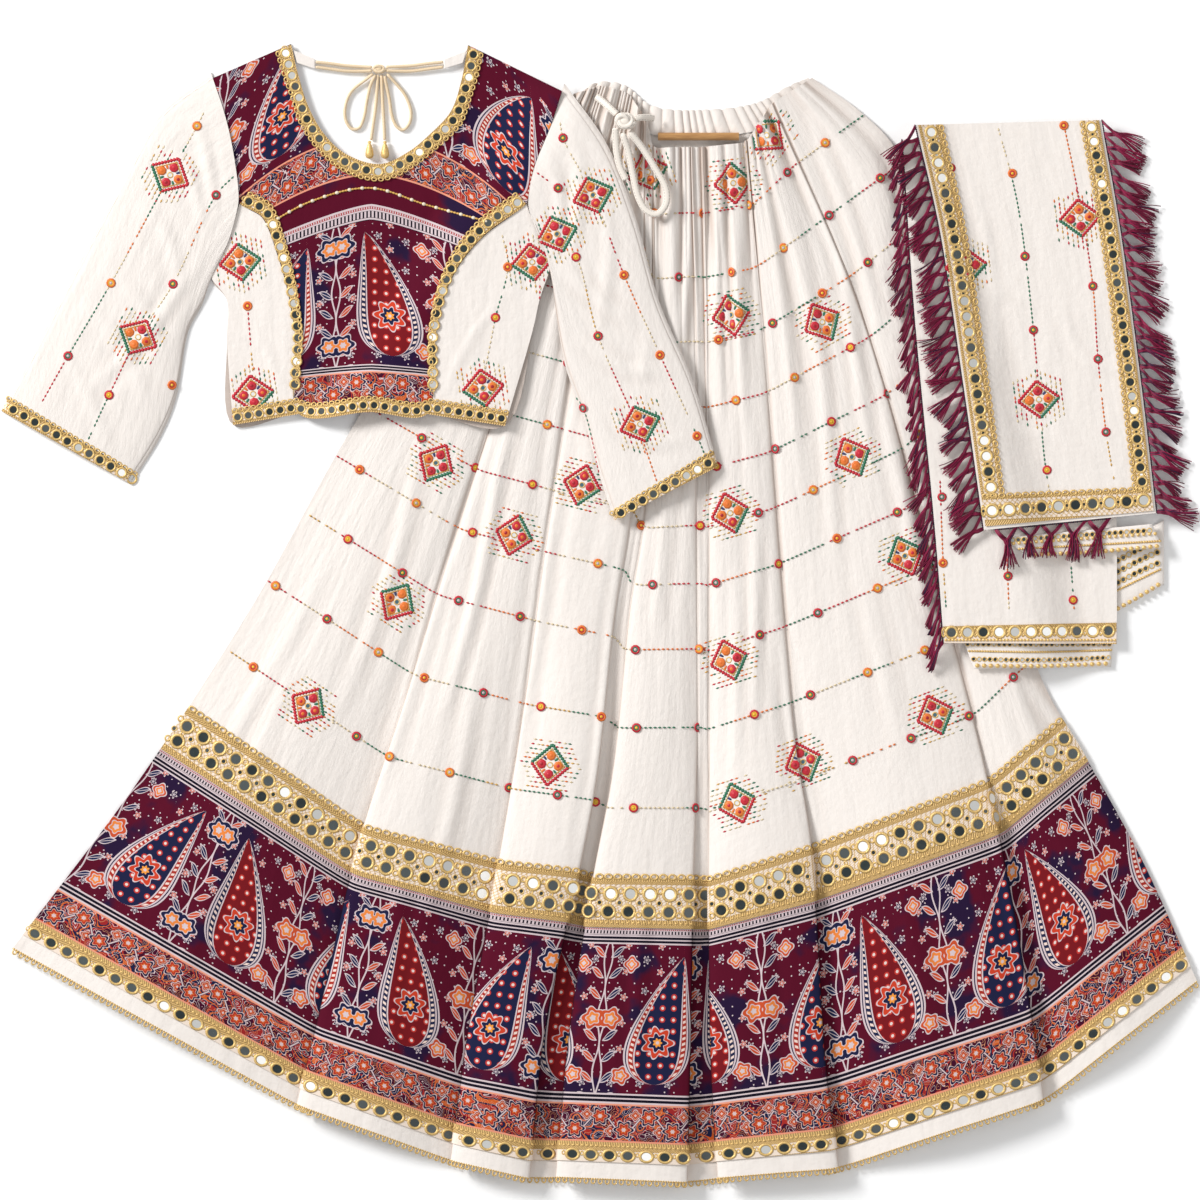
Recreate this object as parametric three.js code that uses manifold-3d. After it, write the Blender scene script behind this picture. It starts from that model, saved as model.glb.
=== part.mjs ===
// A lehenga choli laid out flat: a gathered skirt, a blouse whose right side lies on it, and a folded stole.
// Millimetres, +Z up, the floor at Z = 0. The origin is the middle of the layout on the floor.
import * as THREE from "three";
import { mergeVertices } from "three/addons/utils/BufferGeometryUtils.js";
import Module from "manifold-3d";

const wasm = await Module();
wasm.setup();

// Plan places are millimetres on the laying-out sheet: X to the right and Y down from its top left corner.
const SHEET = { middleX: 601, middleY: 616.5 };

// The cloth's wall, the trims that lie on a panel, and the gap left beneath them.
const CLOTH = { wall: 1.2, lace: 0.8, laceLift: 0.4 };

// Heights of the skirt: the lowest middle line of its front wall, and what is laid on it.
const HEIGHT = { low: 3.6, upperCrown: 5, edge: 2.9, laidOnSkirt: 13, parting: 4.4 };

// Share of the skirt's length at which each piece of the skirt starts and ends.
const LEVEL = { casing: 0.03, laceTop: 0.7, borderTop: 0.7495, borderBottom: 0.9634, laceBottom: 0.9832 };

// Long fold lines of the front, from the left side to the right side. Each has plan points from waist to hem.
// nose: the side that a fold's rounded edge faces. band: length of the trimmed part. opens: where the fold starts.
const RAILS = [
  { nose: "side", band: 297, path: [[574, 94], [500, 207], [360, 415], [250, 610], [137, 783], [13, 948]] },
  { nose: "left", band: 285, opens: 0.45, depth: 15,
    path: [[602, 86], [536, 290], [452, 550], [409, 689], [360, 840], [320, 1011], [297, 1104]] },
  { nose: "left", band: 301, opens: 0.5, depth: 14,
    path: [[628, 94], [588, 290], [546, 553], [528, 686], [500, 856], [467, 1041], [451, 1160]] },
  { nose: "right", band: 310, opens: 0.42, depth: 12,
    path: [[645, 118], [641, 330], [629, 521], [615, 607], [597, 773], [577, 880], [545, 1027], [529, 1178]] },
  { nose: "left", band: 302, opens: 0.42, depth: 12,
    path: [[654, 146], [653, 340], [645, 521], [631, 610], [613, 773], [593, 880], [570, 1030], [556, 1177]] },
  { nose: "right", band: 303, opens: 0.55, depth: 13,
    path: [[690, 147], [694, 340], [695, 531], [696, 760], [693, 881], [691, 1007], [687, 1182]] },
  { nose: "left", band: 298, opens: 0.55, depth: 13,
    path: [[703, 147], [708, 340], [710, 531], [710, 760], [709, 882], [711, 1061], [718, 1178]] },
  { nose: "right", band: 320, opens: 0.52, depth: 14,
    path: [[745, 141], [765, 380], [784, 628], [795, 745], [811, 847], [825, 1061], [838, 1167]] },
  { nose: "right", band: 322, opens: 0.58, depth: 15,
    path: [[772, 104], [855, 300], [930, 560], [984, 767], [1012, 901], [1031, 1014], [1043, 1099]] },
  { nose: "side", band: 294,
    path: [[812, 78], [858, 110], [896, 150], [922, 240], [1039, 673], [1085, 756], [1140, 856], [1197, 981]] },
];

// Panels between the fold lines: how high each stands at the hem, and its columns in the wall.
const PANELS = [
  { crown: 10, columns: 9 },
  { crown: 15, columns: 8 },
  { crown: 16, columns: 6 },
  { crown: 0, columns: 0 },
  { crown: 15, columns: 7 },
  { crown: 0, columns: 0 },
  { crown: 15, columns: 8 },
  { crown: 15, columns: 8 },
  { crown: 10, columns: 7 },
];

// Gathers below the waist: columns for each, wave height, and where they have died out.
const GATHER = { columns: 4, height: 3.2, fade: 0.42, drift: 0.7 };

// A fold's section, for a rounded edge facing left. Near the waist it is a crease, and lower down a deep fold.
// Shifts go across from the fold line, with a share of the fold's own depth added to the folded ones.
const FOLD = [
  { point: "approach", creaseShift: -7, creaseHeight: 3.4, foldShift: -6, foldHeight: 0.8, ofDepth: 0 },
  { point: "under", creaseShift: -3.4, creaseHeight: 1, foldShift: 0, foldHeight: 0, ofDepth: 0.5 },
  { point: "valley", creaseShift: -2.2, creaseHeight: 0.6, foldShift: 0, foldHeight: 3.4, ofDepth: 1 },
  { point: "return", creaseShift: -1, creaseHeight: 1, foldShift: 0, foldHeight: 6.8, ofDepth: 0.5 },
  { point: "nose", creaseShift: 0, creaseHeight: 2, foldShift: 0, foldHeight: 10, ofDepth: 0 },
  { point: "top", creaseShift: 5, creaseHeight: 4.2, foldShift: 6, foldHeight: 12.6, ofDepth: 0 },
];

// Finishes.
const FINISH = {
  cloth: { color: 0xf1ebe4, roughness: 0.75, metalness: 0 },
  print: { color: 0x5c0a23, roughness: 0.85, metalness: 0 },
  lace: { color: 0xc4a05a, roughness: 0.45, metalness: 0.4 },
  cord: { color: 0xd9c9a3, roughness: 0.7, metalness: 0 },
  tape: { color: 0xeee2d2, roughness: 0.75, metalness: 0 },
  fringe: { color: 0x550a1e, roughness: 0.8, metalness: 0 },
  wood: { color: 0xc79a5f, roughness: 0.6, metalness: 0 },
};

const garment = new THREE.Group();

// Small helpers for plan points and numbers.
const onSheet = ([x, y], z = 0) => new THREE.Vector3(x - SHEET.middleX, SHEET.middleY - y, z);
const curveOf = (points) => new THREE.CatmullRomCurve3(points.map((p) => onSheet(p)));
const mix = THREE.MathUtils.lerp;
const ease = (x, from, to) => THREE.MathUtils.smoothstep(x, from, to);
const count = (n) => Array.from({ length: n }, (_, i) => i);
const shares = (n) => count(n + 1).map((i) => i / n);

function addMesh(name, finish, geometry) {
  const mesh = new THREE.Mesh(geometry, new THREE.MeshStandardMaterial(FINISH[finish]));
  mesh.name = name;
  garment.add(mesh);
  return mesh;
}

function geometryOf(points, triangles) {
  const geometry = new THREE.BufferGeometry();
  geometry.setAttribute("position", new THREE.Float32BufferAttribute(points.flatMap((p) => [p.x, p.y, p.z]), 3));
  geometry.setIndex(triangles);
  return geometry;
}

// A closed wall between an upper and a lower grid of points. Columns run to the right and rows run down the sheet.
function wallBetween(upper, lower) {
  const rows = upper.length;
  const columns = upper[0].length;
  const points = [...upper.flat(), ...lower.flat()];
  const at = (side, r, c) => side * rows * columns + r * columns + c;
  const triangles = [];
  const quad = (a, b, c, d) => triangles.push(a, b, c, a, c, d);
  for (let r = 0; r < rows - 1; r += 1) {
    for (let c = 0; c < columns - 1; c += 1) {
      quad(at(0, r, c), at(0, r + 1, c), at(0, r + 1, c + 1), at(0, r, c + 1));
      quad(at(1, r, c), at(1, r, c + 1), at(1, r + 1, c + 1), at(1, r + 1, c));
    }
    quad(at(0, r, 0), at(1, r, 0), at(1, r + 1, 0), at(0, r + 1, 0));
    const end = columns - 1;
    quad(at(0, r, end), at(0, r + 1, end), at(1, r + 1, end), at(1, r, end));
  }
  for (let c = 0; c < columns - 1; c += 1) {
    quad(at(0, 0, c), at(0, 0, c + 1), at(1, 0, c + 1), at(1, 0, c));
    const end = rows - 1;
    quad(at(0, end, c), at(1, end, c), at(1, end, c + 1), at(0, end, c + 1));
  }
  return geometryOf(points, triangles);
}

// The grid's points moved along its normals, with corners kept square so that the wall stays even round a fold.
function movedOut(grid, distance) {
  const rows = grid.length;
  const columns = grid[0].length;
  const side = (r, c, step) => {
    const from = grid[r][Math.max(0, Math.min(columns - 1, c + Math.min(step, 0)))];
    const to = grid[r][Math.max(0, Math.min(columns - 1, c + Math.max(step, 0)))];
    return to.clone().sub(from);
  };
  return grid.map((row, r) => row.map((p, c) => {
    const down = grid[Math.min(rows - 1, r + 1)][c].clone().sub(grid[Math.max(0, r - 1)][c]);
    const faces = [];
    if (c > 0) faces.push(down.clone().cross(side(r, c, -1)).normalize());
    if (c < columns - 1) faces.push(down.clone().cross(side(r, c, 1)).normalize());
    const normal = faces.reduce((sum, f) => sum.add(f), new THREE.Vector3()).normalize();
    const square = Math.max(0.6, normal.dot(faces[0]));
    return p.clone().addScaledVector(normal, distance / square);
  }));
}

const clothWall = (grid) => wallBetween(movedOut(grid, CLOTH.wall / 2), movedOut(grid, -CLOTH.wall / 2));

function laceOn(grid) {
  const start = CLOTH.wall / 2 + CLOTH.laceLift;
  return wallBetween(movedOut(grid, start + CLOTH.lace), movedOut(grid, start));
}

// The skirt's front wall.
const railCurves = RAILS.map((rail) => curveOf(rail.path));
const railLengths = railCurves.map((curve) => curve.getLength());

// A fold line's place at a share of the skirt's length. The trimmed part keeps its own length.
function railAt(index, share) {
  const length = railLengths[index];
  const { band } = RAILS[index];
  const trimmed = (share - LEVEL.laceTop) / (1 - LEVEL.laceTop);
  const run = trimmed < 0 ? (share / LEVEL.laceTop) * (length - band) : length - band * (1 - trimmed);
  return railCurves[index].getPointAt(THREE.MathUtils.clamp(run / length, 0, 1));
}

function foldPoints(index, share) {
  const rail = RAILS[index];
  const middle = railAt(index, share);
  const across = railAt(index + 1, share).sub(railAt(index - 1, share)).normalize();
  const open = ease(share, rail.opens, rail.opens + 0.28);
  const slim = mix(0.55, 1, ease(share, 0, 0.2));
  const turn = rail.nose === "left" ? 1 : -1;
  const points = FOLD.map((row) => {
    const flatShift = row.creaseShift * slim;
    const foldedShift = row.foldShift + row.ofDepth * rail.depth;
    const height = mix(row.creaseHeight, row.foldHeight, open);
    const point = middle.clone().addScaledVector(across, turn * mix(flatShift, foldedShift, open));
    point.z = HEIGHT.low + height;
    return point;
  });
  return rail.nose === "left" ? points : points.reverse();
}

// Stations across the front at one level, with the columns that follow each.
function frontStations(share) {
  const stations = [];
  const put = (point, columns) => stations.push({ point, columns });
  const lowSide = (index) => {
    const point = railAt(index, share);
    point.z = HEIGHT.edge;
    return point;
  };
  put(lowSide(0), 0);
  PANELS.forEach((panel, i) => {
    const next = i + 1;
    const last = RAILS.length - 1;
    const paired = panel.columns === 0;
    if (paired) {
      const meeting = railAt(i, share).add(railAt(next, share)).multiplyScalar(0.5);
      meeting.z = HEIGHT.low + 0.4;
      stations.pop();
      stations[stations.length - 1].columns = 1;
      put(meeting, 1);
      foldPoints(next, share).slice(1).forEach((point) => put(point, 1));
    } else {
      const start = stations[stations.length - 1];
      const ends = next === last ? [lowSide(last)] : foldPoints(next, share);
      const crown = mix(HEIGHT.upperCrown, panel.crown, ease(share, 0.35, 0.8));
      const middle = start.point.clone().lerp(ends[0], 0.5);
      middle.z = HEIGHT.low + crown;
      start.columns = Math.floor(panel.columns / 2);
      put(middle, Math.ceil(panel.columns / 2));
      ends.forEach((point) => put(point, 1));
    }
  });
  stations[stations.length - 1].columns = 0;
  return stations;
}

// The front's middle line at one level: a smooth curve through the stations, with the gathers added to it.
function frontRow(share) {
  const stations = frontStations(share);
  const curve = new THREE.CatmullRomCurve3(stations.map((s) => s.point));
  const spans = stations.length - 1;
  const row = [];
  stations.forEach((station, k) => {
    const steps = k === spans ? 1 : station.columns;
    count(steps).forEach((i) => row.push(curve.getPoint((k + i / steps) / spans)));
  });
  return row.map((point, c) => {
    const reach = GATHER.fade * (0.6 + 0.4 * Math.sin(c * GATHER.drift));
    const wave = Math.abs(Math.sin((Math.PI * c) / GATHER.columns)) - 0.5;
    const nearSide = Math.min(1, c / 4, (row.length - 1 - c) / 4);
    point.z += GATHER.height * wave * nearSide * (1 - ease(share, 0.03, reach));
    return point;
  });
}

const frontGrid = (levels) => levels.map((share) => frontRow(share));
const CASING_SEAM = 0.0018;
const BORDER_SEAM = 0.0009;
const panelLevels = [LEVEL.casing + CASING_SEAM, 0.085, 0.17, 0.29, 0.43, 0.57, LEVEL.laceTop, LEVEL.borderTop];

function buildSkirtFront() {
  addMesh("skirt_casing_front", "cloth", clothWall(frontGrid([0, LEVEL.casing])));
  addMesh("skirt_front_panel", "cloth", clothWall(frontGrid(panelLevels)));
  addMesh("skirt_border_front", "print",
    clothWall(frontGrid([LEVEL.borderTop + BORDER_SEAM, 0.86, LEVEL.borderBottom])));
  addMesh("skirt_hem_band_front", "cloth", clothWall(frontGrid([LEVEL.borderBottom + BORDER_SEAM, 1])));
  addMesh("skirt_upper_lace_front", "lace", laceOn(frontGrid([LEVEL.laceTop, LEVEL.borderTop])));
  addMesh("skirt_lower_lace_front", "lace", laceOn(frontGrid([LEVEL.borderBottom, LEVEL.laceBottom])));
}

// The skirt's back, which lies flat on the floor. Its hem shows a little in the deep folds of the front.
const BACK_HEM = [[16, 946], [160, 1018], [297, 1078], [420, 1122], [543, 1152], [700, 1160], [850, 1146],
  [960, 1112], [1042, 1062], [1194, 978]];
const BACK_WAIST = [[578, 96], [596, 84], [624, 86], [652, 107], [708, 111], [757, 104], [784, 90], [808, 78]];
const BACK = { columns: 10, inset: 3, ruffle: 0.3, seamShare: 0.0005 };

// A patch between four curves, each given as a function of a share.
function patchPoint(left, right, top, bottom, across, down) {
  const sides = left(down).clone().lerp(right(down), across);
  const ends = top(across).clone().lerp(bottom(across), down);
  const corners = left(0).clone().lerp(right(0), across).lerp(left(1).clone().lerp(right(1), across), down);
  return sides.add(ends).sub(corners);
}

const backWaist = curveOf(BACK_WAIST);
const backHem = curveOf(BACK_HEM);

function backGrid(levels, heightOf) {
  const inward = new THREE.Vector3(BACK.inset, 0, 0);
  const left = (v) => railAt(0, v).add(inward);
  const right = (v) => railAt(RAILS.length - 1, v).sub(inward);
  const top = (u) => backWaist.getPointAt(u);
  const bottom = (u) => backHem.getPointAt(u);
  return levels.map((v) => shares(BACK.columns).map((u, c) => {
    const point = patchPoint(left, right, top, bottom, u, v);
    point.z = heightOf(c, v);
    return point;
  }));
}

function backWall(levels) {
  return wallBetween(backGrid(levels, () => CLOTH.wall), backGrid(levels, () => 0));
}

function buildSkirtBack() {
  const ruffle = (lift) => (c) => lift + (c > 1 && c < BACK.columns - 1 ? BACK.ruffle * (c % 2) : 0);
  const casing = [0, LEVEL.casing];
  const seam = BACK.seamShare;
  addMesh("skirt_casing_back", "cloth",
    wallBetween(backGrid(casing, ruffle(CLOTH.wall)), backGrid(casing, ruffle(0))));
  addMesh("skirt_back_panel", "cloth",
    backWall([LEVEL.casing + seam, 0.15, 0.4, LEVEL.laceTop - seam]));
  addMesh("skirt_upper_lace_back", "lace", backWall([LEVEL.laceTop, LEVEL.borderTop]));
  addMesh("skirt_border_back", "print", backWall([LEVEL.borderTop + seam, 0.86, LEVEL.borderBottom]));
  addMesh("skirt_lower_lace_back", "lace", backWall([LEVEL.borderBottom + seam, LEVEL.laceBottom]));
  addMesh("skirt_hem_band_back", "cloth", backWall([LEVEL.laceBottom + seam, 1]));
}

// How high the floor, or the skirt under a garment, lies at a place on the sheet.
const SKIRT_LEFT = { from: [575, 95], to: [360, 415], outside: -56, inside: 20 };
const SKIRT_RIGHT = { from: [1039, 673], to: [896, 146], outside: -60, inside: 20 };

function bedHeight(point, side) {
  const from = onSheet(side.from);
  const along = onSheet(side.to).sub(from).normalize();
  const reach = point.clone().sub(from);
  const inside = along.x * reach.y - along.y * reach.x;
  return HEIGHT.laidOnSkirt * ease(inside, side.outside, side.inside);
}

// The blouse. Front and back are horseshoes of cloth between the neckline and their outer edge.
const CHOLI = { backGap: 0.3, puff: 2.2, puffMiddle: 370, puffHalf: 175, neckLace: 15, edgeLace: 14 };
const SEAM_SHIFT = 0.6;
const NECK = [[291, 44], [298, 74], [309, 108], [325, 135], [346, 154], [380, 164], [408, 152], [429, 135],
  [451, 111], [461, 82], [468, 45]];
const PRINCESS_LEFT = [[240, 204], [262, 217], [276, 249], [289, 295], [296, 341], [299, 414]];
const PRINCESS_RIGHT = [[526, 204], [487, 233], [459, 265], [443, 299], [434, 341], [427, 414]];
const ARMHOLE_LEFT = [[213, 78], [225, 114], [234, 154], [239, 198]];
const ARMHOLE_RIGHT = [[562, 91], [550, 127], [534, 167], [528, 198]];
const UNDERARM_LEFT = [[237, 212], [228, 243], [212, 276]];
const UNDERARM_RIGHT = [[529, 212], [541, 240], [550, 265]];
const SIDE_LEFT = [[212, 279], [227, 300], [227, 341], [233, 425]];
const SIDE_RIGHT = [[550, 268], [540, 298], [533, 329], [505, 426]];
const HEM_MIDDLE = [370, 412];
const FRONT_EDGE = [...ARMHOLE_LEFT, ...PRINCESS_LEFT, HEM_MIDDLE, ...[...PRINCESS_RIGHT].reverse(),
  ...[...ARMHOLE_RIGHT].reverse()];
const BACK_EDGE = [...ARMHOLE_LEFT, [228, 243], ...SIDE_LEFT, [299, 413], HEM_MIDDLE, [427, 413],
  ...[...SIDE_RIGHT].reverse(), [541, 240], ...[...ARMHOLE_RIGHT].reverse()];

// Columns of the front's horseshoe: two to each stretch of its edge.
const STRETCH = 2;
const FRONT_COLUMNS = (FRONT_EDGE.length - 1) * STRETCH;
const PRINCESS_START = ARMHOLE_LEFT.length * STRETCH;
const PRINCESS_END = PRINCESS_START + (PRINCESS_LEFT.length - 1) * STRETCH;

const lifted = (grid, by) => grid.map((row) => row.map((p) => p.clone().setZ(p.z + by)));
const thickened = (grid, wall = CLOTH.wall) => wallBetween(lifted(grid, wall), grid);
const cellsOf = (grid, rows, columns) => grid.slice(rows[0], rows[1] + 1)
  .map((row) => row.slice(columns[0], columns[1] + 1));
const moved = (points, dx) => points.map(([x, y]) => [x + dx, y]);

// A trim on a wall: the wall's own points lifted clear of it, drawn in a little at both ends.
function trimOn(grid, wall = CLOTH.wall) {
  const last = grid[0].length - 1;
  const drawn = grid.map((row) => row.map((p, c) => {
    if (c === 0) return p.clone().lerp(row[1], 0.03);
    if (c === last) return p.clone().lerp(row[last - 1], 0.03);
    return p;
  }));
  return thickened(lifted(drawn, wall + CLOTH.laceLift), CLOTH.lace);
}

// A patch of points between a left and a right path, with bowed top and bottom paths where they are given.
function patchGrid(paths, acrossShares, downShares, heightOf) {
  const left = curveOf(paths.left);
  const right = curveOf(paths.right);
  const top = curveOf(paths.top ?? [paths.left[0], paths.right[0]]);
  const bottom = curveOf(paths.bottom ?? [paths.left.at(-1), paths.right.at(-1)]);
  const at = (curve) => (share) => curve.getPoint(share);
  return downShares.map((v) => acrossShares.map((u) => {
    const point = patchPoint(at(left), at(right), at(top), at(bottom), u, v);
    point.z = heightOf(point, u, v);
    return point;
  }));
}

const onSkirtLeft = (point) => bedHeight(point, SKIRT_LEFT);
const onSkirtRight = (point) => bedHeight(point, SKIRT_RIGHT);

// Layers that bend up over the skirt's edge part a little there, as stiff cloth does.
function parting(height) {
  const share = height / HEIGHT.laidOnSkirt;
  return HEIGHT.parting * 4 * share * (1 - share);
}

// Height of the front's underside: on the back, and a little puffed towards the middle.
function frontHeight(point) {
  const off = (point.x - onSheet([CHOLI.puffMiddle, 0]).x) / CHOLI.puffHalf;
  const bed = onSkirtLeft(point);
  return bed + parting(bed) + CLOTH.wall + CHOLI.backGap + CHOLI.puff * Math.max(0, 1 - off * off);
}

// Points between the neckline and an outer edge. Shares run across, and two rows stand at the trims' widths.
const FRONT_ROWS = [0, "neckTrim", 0.42, 0.66, "edgeTrim", 1];
const BACK_ROWS = [0, 0.17, 0.33, 0.48, 0.62, 0.76, 0.88, 1];

function horseshoeGrid(edge, rows, columns, heightOf) {
  const inner = curveOf(NECK);
  const outer = curveOf(edge);
  const spots = shares(columns).map((u) => [inner.getPoint(u), outer.getPoint(u)]);
  return rows.map((row) => spots.map(([from, to]) => {
    const length = from.distanceTo(to);
    const share = { neckTrim: CHOLI.neckLace / length, edgeTrim: 1 - CHOLI.edgeLace / length }[row] ?? row;
    const point = from.clone().lerp(to, share);
    point.z = heightOf(point);
    return point;
  }));
}

function buildCholiBody() {
  const front = horseshoeGrid(FRONT_EDGE, FRONT_ROWS, FRONT_COLUMNS, frontHeight);
  const lastRow = front.length - 1;
  addMesh("choli_back", "cloth", thickened(horseshoeGrid(BACK_EDGE, BACK_ROWS, 24, onSkirtLeft)));
  addMesh("choli_front_centre", "print", thickened(front));
  addMesh("choli_neck_lace", "lace", trimOn(cellsOf(front, [0, 1], [0, FRONT_COLUMNS])));
  const edgeRows = [lastRow - 1, lastRow];
  const mirrored = (range) => range.map((c) => FRONT_COLUMNS - c).reverse();
  const princess = [PRINCESS_START, PRINCESS_END - 1];
  addMesh("choli_princess_lace_left", "lace", trimOn(cellsOf(front, edgeRows, princess)));
  addMesh("choli_princess_lace_right", "lace", trimOn(cellsOf(front, edgeRows, mirrored(princess))));
  const seam = (columns, shift) => {
    const [row] = cellsOf(front, [lastRow, lastRow], columns);
    return row.map((p) => [p.x + SHEET.middleX + shift, SHEET.middleY - p.y]);
  };
  const princessColumns = [PRINCESS_START, PRINCESS_END];
  const leftSeam = seam(princessColumns, -SEAM_SHIFT);
  const rightSeam = seam(mirrored(princessColumns), SEAM_SHIFT).reverse();
  const across = shares(3);
  const down = shares(leftSeam.length - 1);
  const left = patchGrid({ left: [...UNDERARM_LEFT, ...SIDE_LEFT], right: leftSeam }, across, down, frontHeight);
  const right = patchGrid({ left: rightSeam, right: [...UNDERARM_RIGHT, ...SIDE_RIGHT] }, across, down, frontHeight);
  addMesh("choli_side_left", "cloth", thickened(left));
  addMesh("choli_side_right", "cloth", thickened(right));
  const hem = (grid) => {
    const lowest = grid.at(-1);
    return [grid.at(-2).map((p, c) => lowest[c].clone().lerp(p, CHOLI.edgeLace / lowest[c].distanceTo(p))), lowest];
  };
  const centre = cellsOf(front, edgeRows, [PRINCESS_END, FRONT_COLUMNS - PRINCESS_END]);
  const [leftHem, rightHem] = [hem(left), hem(right)];
  const whole = [0, 1].map((r) => [...leftHem[r], ...centre[r], ...rightHem[r]].map((p) => p.clone()));
  whole.forEach((row) => row.forEach((p) => p.setZ(frontHeight(p))));
  addMesh("choli_hem_lace", "lace", trimOn(whole));
}

// Sleeves: flattened tubes. Each is a ring of points across, from its outer edge over the top and back beneath.
const RING = [
  { across: 0, top: 1.7, under: 1.7 },
  { across: 0.04, top: 3.3, under: 0 },
  { across: 0.2, top: 5.2, under: 0 },
  { across: 0.4, top: 6, under: 0 },
  { across: 0.6, top: 6, under: 0 },
  { across: 0.8, top: 5.2, under: 0 },
  { across: 0.96, top: 3.3, under: 0 },
  { across: 1, top: 1.7, under: 1.7 },
];
const SLEEVE = { cuff: 0.962, rows: [0, 0.12, 0.28, 0.46, 0.7], cuffRows: [0.9645, 1], lift: 0.3 };
const SLEEVES = {
  left: {
    left: [[212, 78], [163, 116], [122, 188], [82, 263], [41, 343], [5, 413]],
    right: [[210, 278], [202, 300], [187, 328], [174, 393], [158, 432], [127, 482]],
    top: moved([...ARMHOLE_LEFT, ...UNDERARM_LEFT], -1.9),
  },
  right: {
    left: [[552, 268], [557, 310], [567, 364], [585, 415], [604, 480], [617, 519]],
    right: [[563, 91], [604, 150], [632, 221], [656, 305], [690, 385], [715, 468]],
    top: moved([...UNDERARM_RIGHT.slice().reverse(), ...ARMHOLE_RIGHT.slice().reverse()], 2.7),
  },
};

function sleeveRing(paths, share, inset) {
  const overAndUnder = [...RING.map((r) => [r, "top"]), ...RING.slice(1, -1).reverse().map((r) => [r, "under"])];
  return overAndUnder.map(([{ across, top, under }, side]) => {
    const narrow = inset * 0.012;
    const u = mix(narrow, 1 - narrow, across);
    const [row] = patchGrid(paths, [u], [share], onSkirtLeft)[0];
    const middle = 1.7;
    const height = side === "top" ? top : under;
    const wall = Math.sign(height - middle) * Math.min(inset * CLOTH.wall, Math.abs(height - middle) * 0.8);
    row.z += SLEEVE.lift + height - wall;
    return row;
  });
}

// A tube's closed wall from matching outer and inner rings, open at both ends.
function tubeWall(outer, inner) {
  const around = outer[0].length;
  const rows = outer.length;
  const points = [...outer.flat(), ...inner.flat()];
  const at = (side, r, c) => side * rows * around + r * around + (c % around);
  const triangles = [];
  const quad = (a, b, c, d) => triangles.push(a, b, c, a, c, d);
  count(around).forEach((c) => {
    count(rows - 1).forEach((r) => {
      quad(at(0, r, c), at(0, r + 1, c), at(0, r + 1, c + 1), at(0, r, c + 1));
      quad(at(1, r, c), at(1, r, c + 1), at(1, r + 1, c + 1), at(1, r + 1, c));
    });
    quad(at(0, 0, c), at(0, 0, c + 1), at(1, 0, c + 1), at(1, 0, c));
    quad(at(0, rows - 1, c), at(1, rows - 1, c), at(1, rows - 1, c + 1), at(0, rows - 1, c + 1));
  });
  return geometryOf(points, triangles);
}

function buildSleeves() {
  Object.entries(SLEEVES).forEach(([side, paths]) => {
    const tube = (levels) => tubeWall(...[0, 1].map((inset) => levels.map((v) => sleeveRing(paths, v, inset))));
    addMesh(`choli_sleeve_${side}`, "cloth", tube([...SLEEVE.rows, SLEEVE.cuff]));
    addMesh(`choli_cuff_lace_${side}`, "lace", tube(SLEEVE.cuffRows));
  });
}

// A round cord along a route of plan points with heights, and the small closed forms on it.
function cordAlong(route, diameter, sides = 8) {
  const path = new THREE.CatmullRomCurve3(route.map(([x, y, z]) => onSheet([x, y], z)));
  const ring = count(sides).map((i) => {
    const angle = (2 * Math.PI * i) / sides;
    return new THREE.Vector2(Math.cos(angle), Math.sin(angle)).multiplyScalar(diameter / 2);
  });
  const steps = Math.max(2, Math.round(path.getLength() / (diameter * 3)));
  return new THREE.ExtrudeGeometry(new THREE.Shape(ring), { steps, extrudePath: path });
}

function roundForm(centre, size, turn = 0) {
  const geometry = new THREE.SphereGeometry(0.5, 10, 6).scale(...size).rotateZ(turn);
  return geometry.translate(...onSheet(centre, centre[2]).toArray());
}

// The two ties at the back of the neck, knotted in a bow that lies on the floor inside the neckline.
const TIE = { diameter: 3, knot: [379, 69, 4], knotSize: [13, 9, 7] };
const NECK_TIES = {
  left: {
    tab: [[293, 50], [315, 63]],
    upper: [[315.7, 62, 3.4], [330, 63.5, 3.2], [345, 65.5, 3], [360, 66.5, 3], [372, 67.2, 4]],
    lower: [[315.7, 67, 3.4], [330, 69, 3.2], [345, 71, 3], [360, 71.2, 3], [372, 70.8, 4]],
    loop: [[373, 73.9, 4], [366, 79.5, 3], [351, 92, 1.8], [345, 108, 1.7], [346, 121, 1.7], [352, 129, 1.7],
      [359, 128, 1.7], [364, 117, 1.7], [367, 100, 1.7], [371, 84, 2.4], [375.5, 75, 4]],
    tail: [[378, 75.2, 2.4], [377, 90, 1.7], [375.5, 108, 1.7], [373, 126, 1.7], [371, 140, 1.9]],
    tassel: [369.5, 152, 3.6],
  },
  right: {
    tab: [[467, 50], [444, 63]],
    upper: [[443.3, 62, 3.4], [428, 63.5, 3.2], [413, 65.5, 3], [398, 66.5, 3], [386, 67.2, 4]],
    lower: [[443.3, 67, 3.4], [428, 69, 3.2], [413, 71, 3], [398, 71.2, 3], [386, 70.8, 4]],
    loop: [[387, 73.9, 4], [394, 81.5, 3], [405, 95, 1.8], [411, 112, 1.7], [409, 124, 1.7], [403, 130, 1.7],
      [397, 127, 1.7], [392, 116, 1.7], [389.5, 100, 1.7], [386.6, 86, 2.4], [384.6, 76, 4]],
    tail: [[381.5, 75.2, 2.4], [382, 90, 1.7], [383, 108, 1.7], [384, 126, 1.7], [384.5, 140, 1.9]],
    tassel: [385, 152, 3.6],
  },
};
const TASSEL_PROFILE = [[0, 0], [2, 0], [3.2, 2], [2.4, 4], [3.2, 7], [3.4, 16], [0, 18]];

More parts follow.
